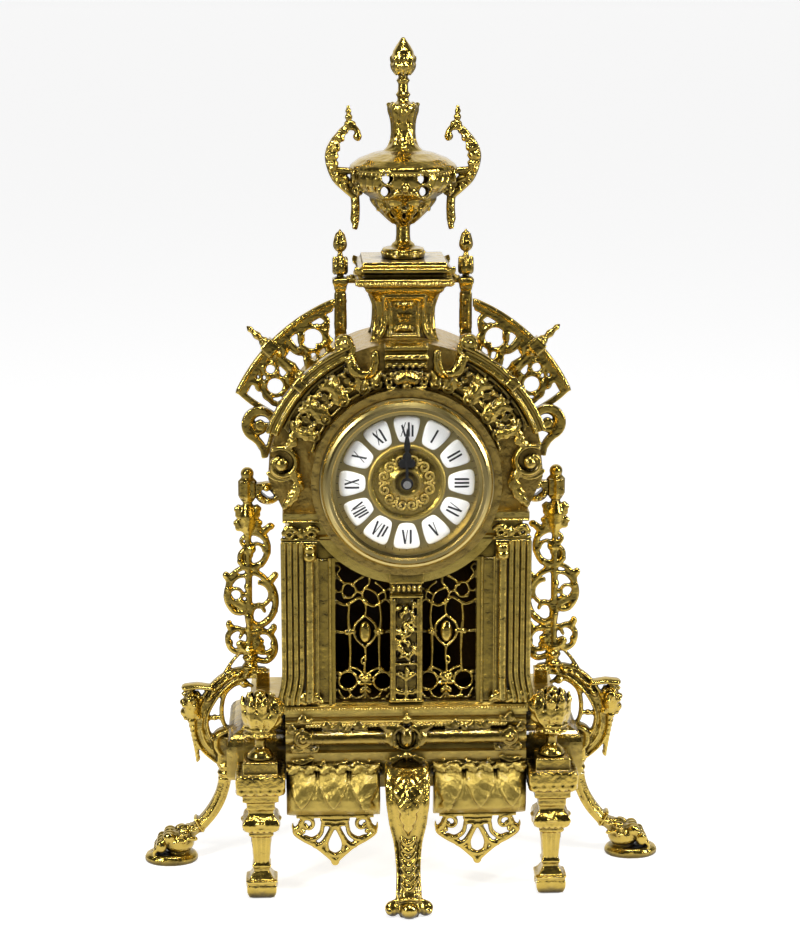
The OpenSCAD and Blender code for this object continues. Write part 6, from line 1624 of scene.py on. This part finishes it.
def post():
    x, y = 41.5, 20
    corners = [(1, -0.8), (1, 0.8), (0.8, 1), (-0.8, 1), (-1, 0.8), (-1, -0.8), (-0.8, -1), (0.8, -1)]
    # the foot follows the hood's slope
    rings = [[(x + 4 * a, y + 4 * b, 365.9 - 2.1 * a) for a, b in corners]]
    for half, z in ((4, 370.4), (4.1, 372.4), (3.5, 373.6), (4.1, 376), (3.6, 379), (3.4, 403.6),
            (4.1, 405.6), (4.3, 407.4), (5.2, 409.4), (5.2, 412), (3.4, 413.2)):
        rings.append([(x + half * a, y + half * b, z) for a, b in corners])
    bud = [(2.6, 412.4), (2.2, 414.4), (3.2, 416), (4.4, 418.6), (4.2, 422), (3, 425.4), (1.9, 427.6),
        (1.5, 429.4), (2.3, 431.2), (3, 434), (2.8, 437.6), (1.6, 441.6), (0.5, 444.6)]
    shapes = [skin(rings), turning((x, y, 0), bud, 20)]
    for k in range(6):
        a = 2 * pi * k / 6
        c, s = cos(a), sin(a)
        put = lambda r, z: (x + c * r, y + s * r, z)
        shapes += [
            leaf([put(2.6, 415), put(4.7, 418.2), put(4.1, 422.4), put(3.9, 427.4)], [1.5, 2.8, 2.1, 0.6],
                3, 0.9, 1.4, face=(c, s, 0.1), n=22, m=9),
            leaf([put(1.6, 430.4), put(3.5, 433.6), put(3, 438), put(1.3, 443.8)], [1, 1.9, 1.6, 0.5], 3,
                0.7, 1.1, face=(c, s, 0.1), n=20, m=9)]
    for side in range(4):
        c, s = cos(side * pi / 2), sin(side * pi / 2)
        put = lambda r, u, z: (x + c * r - s * u, y + s * r + c * u, z)
        for u in (-2.4, 2.4):
            shapes.append(strand([put(3.5, u, 379), put(3.4, u, 390), put(3.3, u, 402)], 0.6, 0.8,
                face=(c, s, 0)))
        shapes += [orb(put(3.4, 0, z), (1.1, 1.1, 1.8), 8, 5) for z in (397, 382)]
    return [(np.clip(p, (36.3, 14.8, 363.8), (46.7, 25.2, 444.9)), f) for p, f in shapes]


cast("right_post_cast", post(), cast_brass, of=("right_post",), merge=False, grain=0.45, ease=1,
    mirror=("left_post_cast", ("left_post",)))

# ------------------------------------------------------------------ dial plate and chapter shields
# A gilt dial plate with a fine turned grain carries twelve domed shields of fired white enamel
# with black numerals, and a pressed centre of scrolls round the hands' collar.
DIAL_FACE = -34.5


def plain_finish(name, colour, rough, metal=0.0, speck=900.0, shift=0.15, coat=0.0, bumps=0.1):
    """A smooth finish whose colour and gloss drift a little over the piece."""
    made, tree, body = new_finish(name)
    drift = add(tree, "ShaderNodeTexNoise",
        {"Vector": place_of(tree), "Scale": speck, "Detail": 3}).outputs[0]
    dark, light = [c * (1 - shift) for c in colour], [min(1, c * (1 + shift)) for c in colour]
    fine = add(tree, "ShaderNodeBump", {"Strength": bumps, "Distance": 0.0003, "Height": drift})
    fill(tree, body,
        {"Metallic": metal, "Coat Weight": coat, "Coat Roughness": 0.06,
            "Base Color": mixed(tree, drift, dark, light),
            "Roughness": sums(tree, "MULTIPLY_ADD", drift, 0.12, rough - 0.06), "Normal": fine.outputs[0]})
    return made


dial_gilt = plain_finish("dial_gilt", (0.40, 0.33, 0.15), 0.38, metal=1.0, speck=260)
enamel_white = plain_finish("enamel_white", (0.80, 0.80, 0.78), 0.16, speck=90, shift=0.04, coat=0.6,
    bumps=0.02)
numeral_black = plain_finish("numeral_black", (0.012, 0.012, 0.014), 0.3, speck=300)
dress("dial_plate", dial_gilt)


def on_dial(points, turn):
    """Turns a drawing on the dial clockwise by an hour's angle and puts it in its place."""
    p = np.asarray(points, float)
    a = radians(-turn)
    return np.stack([DIAL[0] + p[:, 0] * cos(a) - p[:, 2] * sin(a), p[:, 1],
            DIAL[1] + p[:, 0] * sin(a) + p[:, 2] * cos(a)], 1)


def shield():
    """One enamel shield at twelve o'clock: a cushion with round corners, domed on its face."""
    corners = [(0, 26.6), (4.4, 27.6), (6.6, 32), (8.1, 37.5), (8.4, 41.6), (6.4, 43.6), (0, 44.3)]
    half = smooth_path([(x, 0, z) for x, z in corners], 5)
    rim = np.vstack([half, (half * (-1, 1, 1))[::-1][1:-1]])
    middle = np.array([0, 0, 35.6])
    rings = [rim + (0, DIAL_FACE - 0.02, 0)]
    for k, lift in ((1.0, 0.75), (0.975, 1.15), (0.93, 1.45), (0.8, 1.75), (0.6, 1.95), (0.35, 2.05),
            (0.12, 2.08)):
        rings.append(middle + (rim - middle) * k + (0, DIAL_FACE - lift, 0))
    return skin(rings)


shields, base, faces = [], 0, []
for hour in range(12):
    p, f = shield()
    shields.append(on_dial(p, hour * 30))
    faces += [[base + i for i in g] for g in f]
    base += len(p)
enamel = finish_mesh("enamel_shields", np.vstack(shields), faces, enamel_white)
settle(enamel, edge=50)
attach(enamel, "case")
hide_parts("cartouches")


def stroke(x0, z0, x1, z1, wide):
    """One stroke of a numeral, a hair thick, bent to the shield's dome."""
    rows = []
    for t in np.linspace(0, 1, 5):
        x, z = x0 + (x1 - x0) * t, z0 + (z1 - z0) * t
        row = []
        for s in (-wide / 2, wide / 2):
            k = min(1.0, hypot((x + s) / 8.2, (z - 35.6) / 8.6))
            lift = float(np.interp(k, [0, 0.35, 0.6, 0.8, 0.93, 1], [2.08, 2.05, 1.95, 1.75, 1.45, 1.1]))
            row.append((x + s, lift, z))
        rows.append(row)
    rings = []
    for a, b in rows:
        rings.append([(a[0], DIAL_FACE - a[1] - 0.07, a[2]), (b[0], DIAL_FACE - b[1] - 0.07, b[2]),
            (b[0], DIAL_FACE - b[1] + 0.25, b[2]), (a[0], DIAL_FACE - a[1] + 0.25, a[2])])
    return skin(rings)


def numeral(word):
    """Strokes of a roman numeral, 10 mm tall, set side by side on the shield."""
    advance = {"I": 2.5, "V": 5.0, "X": 5.0}
    width = sum(advance[c] for c in word)
    squeeze = min(1.0, 9.6 / width)
    x, low, high, strokes = -width * squeeze / 2, 30.9, 40.4, []
    for c in word:
        w = advance[c] * squeeze
        m = x + w / 2
        if c == "I":
            strokes.append((m, low, m, high, 1.35 * squeeze ** 0.5))
        if c == "V":
            strokes += [(m - w * 0.30, high, m + 0.1, low, 1.35 * squeeze ** 0.5),
                (m + w * 0.34, high, m + 0.2, low, 0.55)]
        if c == "X":
            strokes += [(m - w * 0.30, high, m + w * 0.30, low, 1.35 * squeeze ** 0.5),
                (m + w * 0.32, high, m - w * 0.32, low, 0.55)]
        x += w
    return strokes


points, faces, base = [], [], 0
for hour, word in enumerate(["XII", "I", "II", "III", "IV", "V", "VI", "VII", "VIII", "IX", "X", "XI"]):
    for line in numeral(word):
        x0, z0, x1, z1, wide = line
        if 4 <= hour <= 8:                                    # read from inside on the lower half
            x0, z0, x1, z1 = -x0, 71.3 - z0, -x1, 71.3 - z1
        p, f = stroke(x0, z0, x1, z1, wide)
        points.append(on_dial(p, hour * 30))
        faces += [[base + i for i in g] for g in f]
        base += len(p)
numerals = finish_mesh("chapter_numerals", np.vstack(points), faces, numeral_black)
settle(numerals, edge=30)
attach(numerals, "case")


def dial_centre():
    shapes = [turning((0, DIAL_FACE, DIAL[1]),
        [(2.9, 0), (25.4, 0), (25.4, -1), (24.8, -1.7), (23.2, -1.7), (22.4, -0.8), (20.4, -0.6),
            (19.6, -1.0), (9.8, -1.0), (9.2, -1.9), (8.2, -2.0), (7.2, -1.6), (6.4, -0.9), (2.9, -0.9)], 96,
        way="y")]
    shapes[0] = (shapes[0][0], shapes[0][1][:-2])             # a ring: its bore stays open
    for k in range(6):
        mid = 60 * k + 30
        for s in (-1, 1):
            a = radians(mid + s * 13)
            c = (15 * cos(a), DIAL[1] + 15 * sin(a))
            shapes.append(strand(
                coil(c, 3.6, 0.8, mid + s * 100, mid + s * 100 - s * 420, DIAL_FACE - 1.3, 30),
                [0.75, 0.9, 0.6], 0.7, 8))
            tip = (18.6 * cos(a + s * 0.16), DIAL[1] + 18.6 * sin(a + s * 0.16))
            shapes.append(leaf(flat([c, ((c[0] + tip[0]) / 2, (c[1] + tip[1]) / 2), tip], DIAL_FACE - 1),
                [1.6, 2, 1], 2, 0.6, 0.9, n=14, m=9))
        a = radians(mid - 30)
        for r, size in ((11.8, 1.0), (14.4, 1.5), (17.6, 1.0)):
            shapes.append(orb((r * cos(a), DIAL_FACE - 1.1, DIAL[1] + r * sin(a)), (size, 0.9, size), 10,
                5))
    return shapes


ring_points, ring_faces, base = [], [], 0
for p, f in dial_centre():
    ring_points.append(p)
    ring_faces += [[base + i for i in g] for g in f]
    base += len(p)
# close the turned ring from its last row back to its first
rows = 14
ring_faces += [[(rows - 1) * 96 + j, (rows - 1) * 96 + (j + 1) % 96, (j + 1) % 96, j] for j in range(96)]
pressed = finish_mesh("pressed_dial_centre", np.vstack(ring_points), ring_faces, cast_brass)
settle(pressed, edge=60)
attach(pressed, "case")
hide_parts("dial_centre")

# ------------------------------------------------------------------ hands
# Blued-black steel hands: a pierced trefoil hour hand and a plain spear minute hand, on a
# brass collar with a polished steel cap.
blued_steel = plain_finish("blued_steel", (0.006, 0.006, 0.006), 0.35, metal=0.0, coat=0.1, speck=500)
bright_steel = plain_finish("bright_steel", (0.62, 0.62, 0.60), 0.25, metal=1.0, speck=700)
for name in ("minute_hand", "hour_hand"):
    dress(name, blued_steel)
for name in ("centre_arbor", "barrel_arbor"):
    dress(name, bright_steel)

# ------------------------------------------------------------------ bezel and glass
# A spun and polished brass bezel holds a domed crystal over the dial.
bezel_polish = brass_finish("bezel_polish", (0.60, 0.46, 0.15), (0.12, 0.075, 0.018), 0.2, grain=150,
    hollow=0.002, pits=0.06, shade_and_wear=(0.3, 0.9), wave=0.04)
dress("bezel", bezel_polish)
crystal, tree, body = new_finish("domed_crystal")
smear = add(tree, "ShaderNodeTexNoise", {"Vector": place_of(tree), "Scale": 40}).outputs[0]
fill(tree, body,
    {"Transmission Weight": 1.0, "IOR": 1.22, "Base Color": (1, 1, 1, 1),
        "Roughness": ramp(tree, smear, 0.4, 0.8, 0.0, 0.03)})
clear = add(tree, "ShaderNodeBsdfTransparent").outputs[0]
shadow = add(tree, "ShaderNodeLightPath").outputs["Is Shadow Ray"]
blend = add(tree, "ShaderNodeMixShader", {0: shadow, 1: body.outputs[0], 2: clear})
fill(tree, tree.nodes["Material Output"], {"Surface": blend.outputs[0]})
dress("glass", crystal)

# ------------------------------------------------------------------ movement, door and key
# A brass going train between two plates in the drum, a spun back door, and a cast winding key.
# The plates are lacquered and lightly grained; the pinions and the key's arbor are steel.
movement_brass = plain_finish("movement_brass", (0.62, 0.46, 0.15), 0.28, metal=1.0, speck=900, coat=0.3)
for name in ("movement_frame", "barrel", "third_wheel", "escape_wheel", "balance", "hour_wheel",
        "minute_wheel"):
    dress(name, movement_brass)
turned_brass = brass_finish("turned_brass", (0.60, 0.43, 0.10), (0.03, 0.017, 0.003), 0.2, pits=0.25,
    wave=0.5)
dress("winding_key", turned_brass)
spun_brass = brass_finish("spun_brass", (0.50, 0.35, 0.075), (0.03, 0.017, 0.003), 0.24, pits=0.2, wave=0.4)


def spun_rings(made, centre):
    """The fine grooves a spinning tool leaves, as rings round an axis that runs to the back."""
    tree = made.node_tree
    metal = tree.nodes["Principled BSDF"]
    off = (-centre[0] * MM, 0, -centre[1] * MM)
    moved = add(tree, "ShaderNodeMapping", {"Vector": place_of(tree), "Location": off}).outputs["Vector"]
    rings = add(tree, "ShaderNodeTexWave", {"Vector": moved, "Scale": 34, "Distortion": 1.5, "Detail": 2},
        wave_type="RINGS", rings_direction="Y")
    grained = metal.inputs["Normal"].links[0].from_socket
    groove = add(tree, "ShaderNodeBump",
        {"Strength": 0.45, "Distance": 0.0008, "Height": rings.outputs["Fac"], "Normal": grained})
    fill(tree, metal, {"Normal": groove.outputs["Normal"]})
    return made


dress("back_door", spun_rings(spun_brass, DIAL))

# minute marks round the edge of the dial, printed in black
printed_black = plain_finish("printed_black", (0.010, 0.009, 0.007), 0.5, metal=0.0, speck=600)
set_out("minute_marks", bead_ring, printed_black, slot="dial_metal",
    Centre=(0.0, DIAL_FACE + 0.02, DIAL[1]), Tilt=90.0, Radius=44.9, From=0.0, Sweep=360.0, Count=60,
    Bead=(0.85, 0.16, 0.05), Square=1)

# ------------------------------------------------------------------ bounds of the object
low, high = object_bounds()
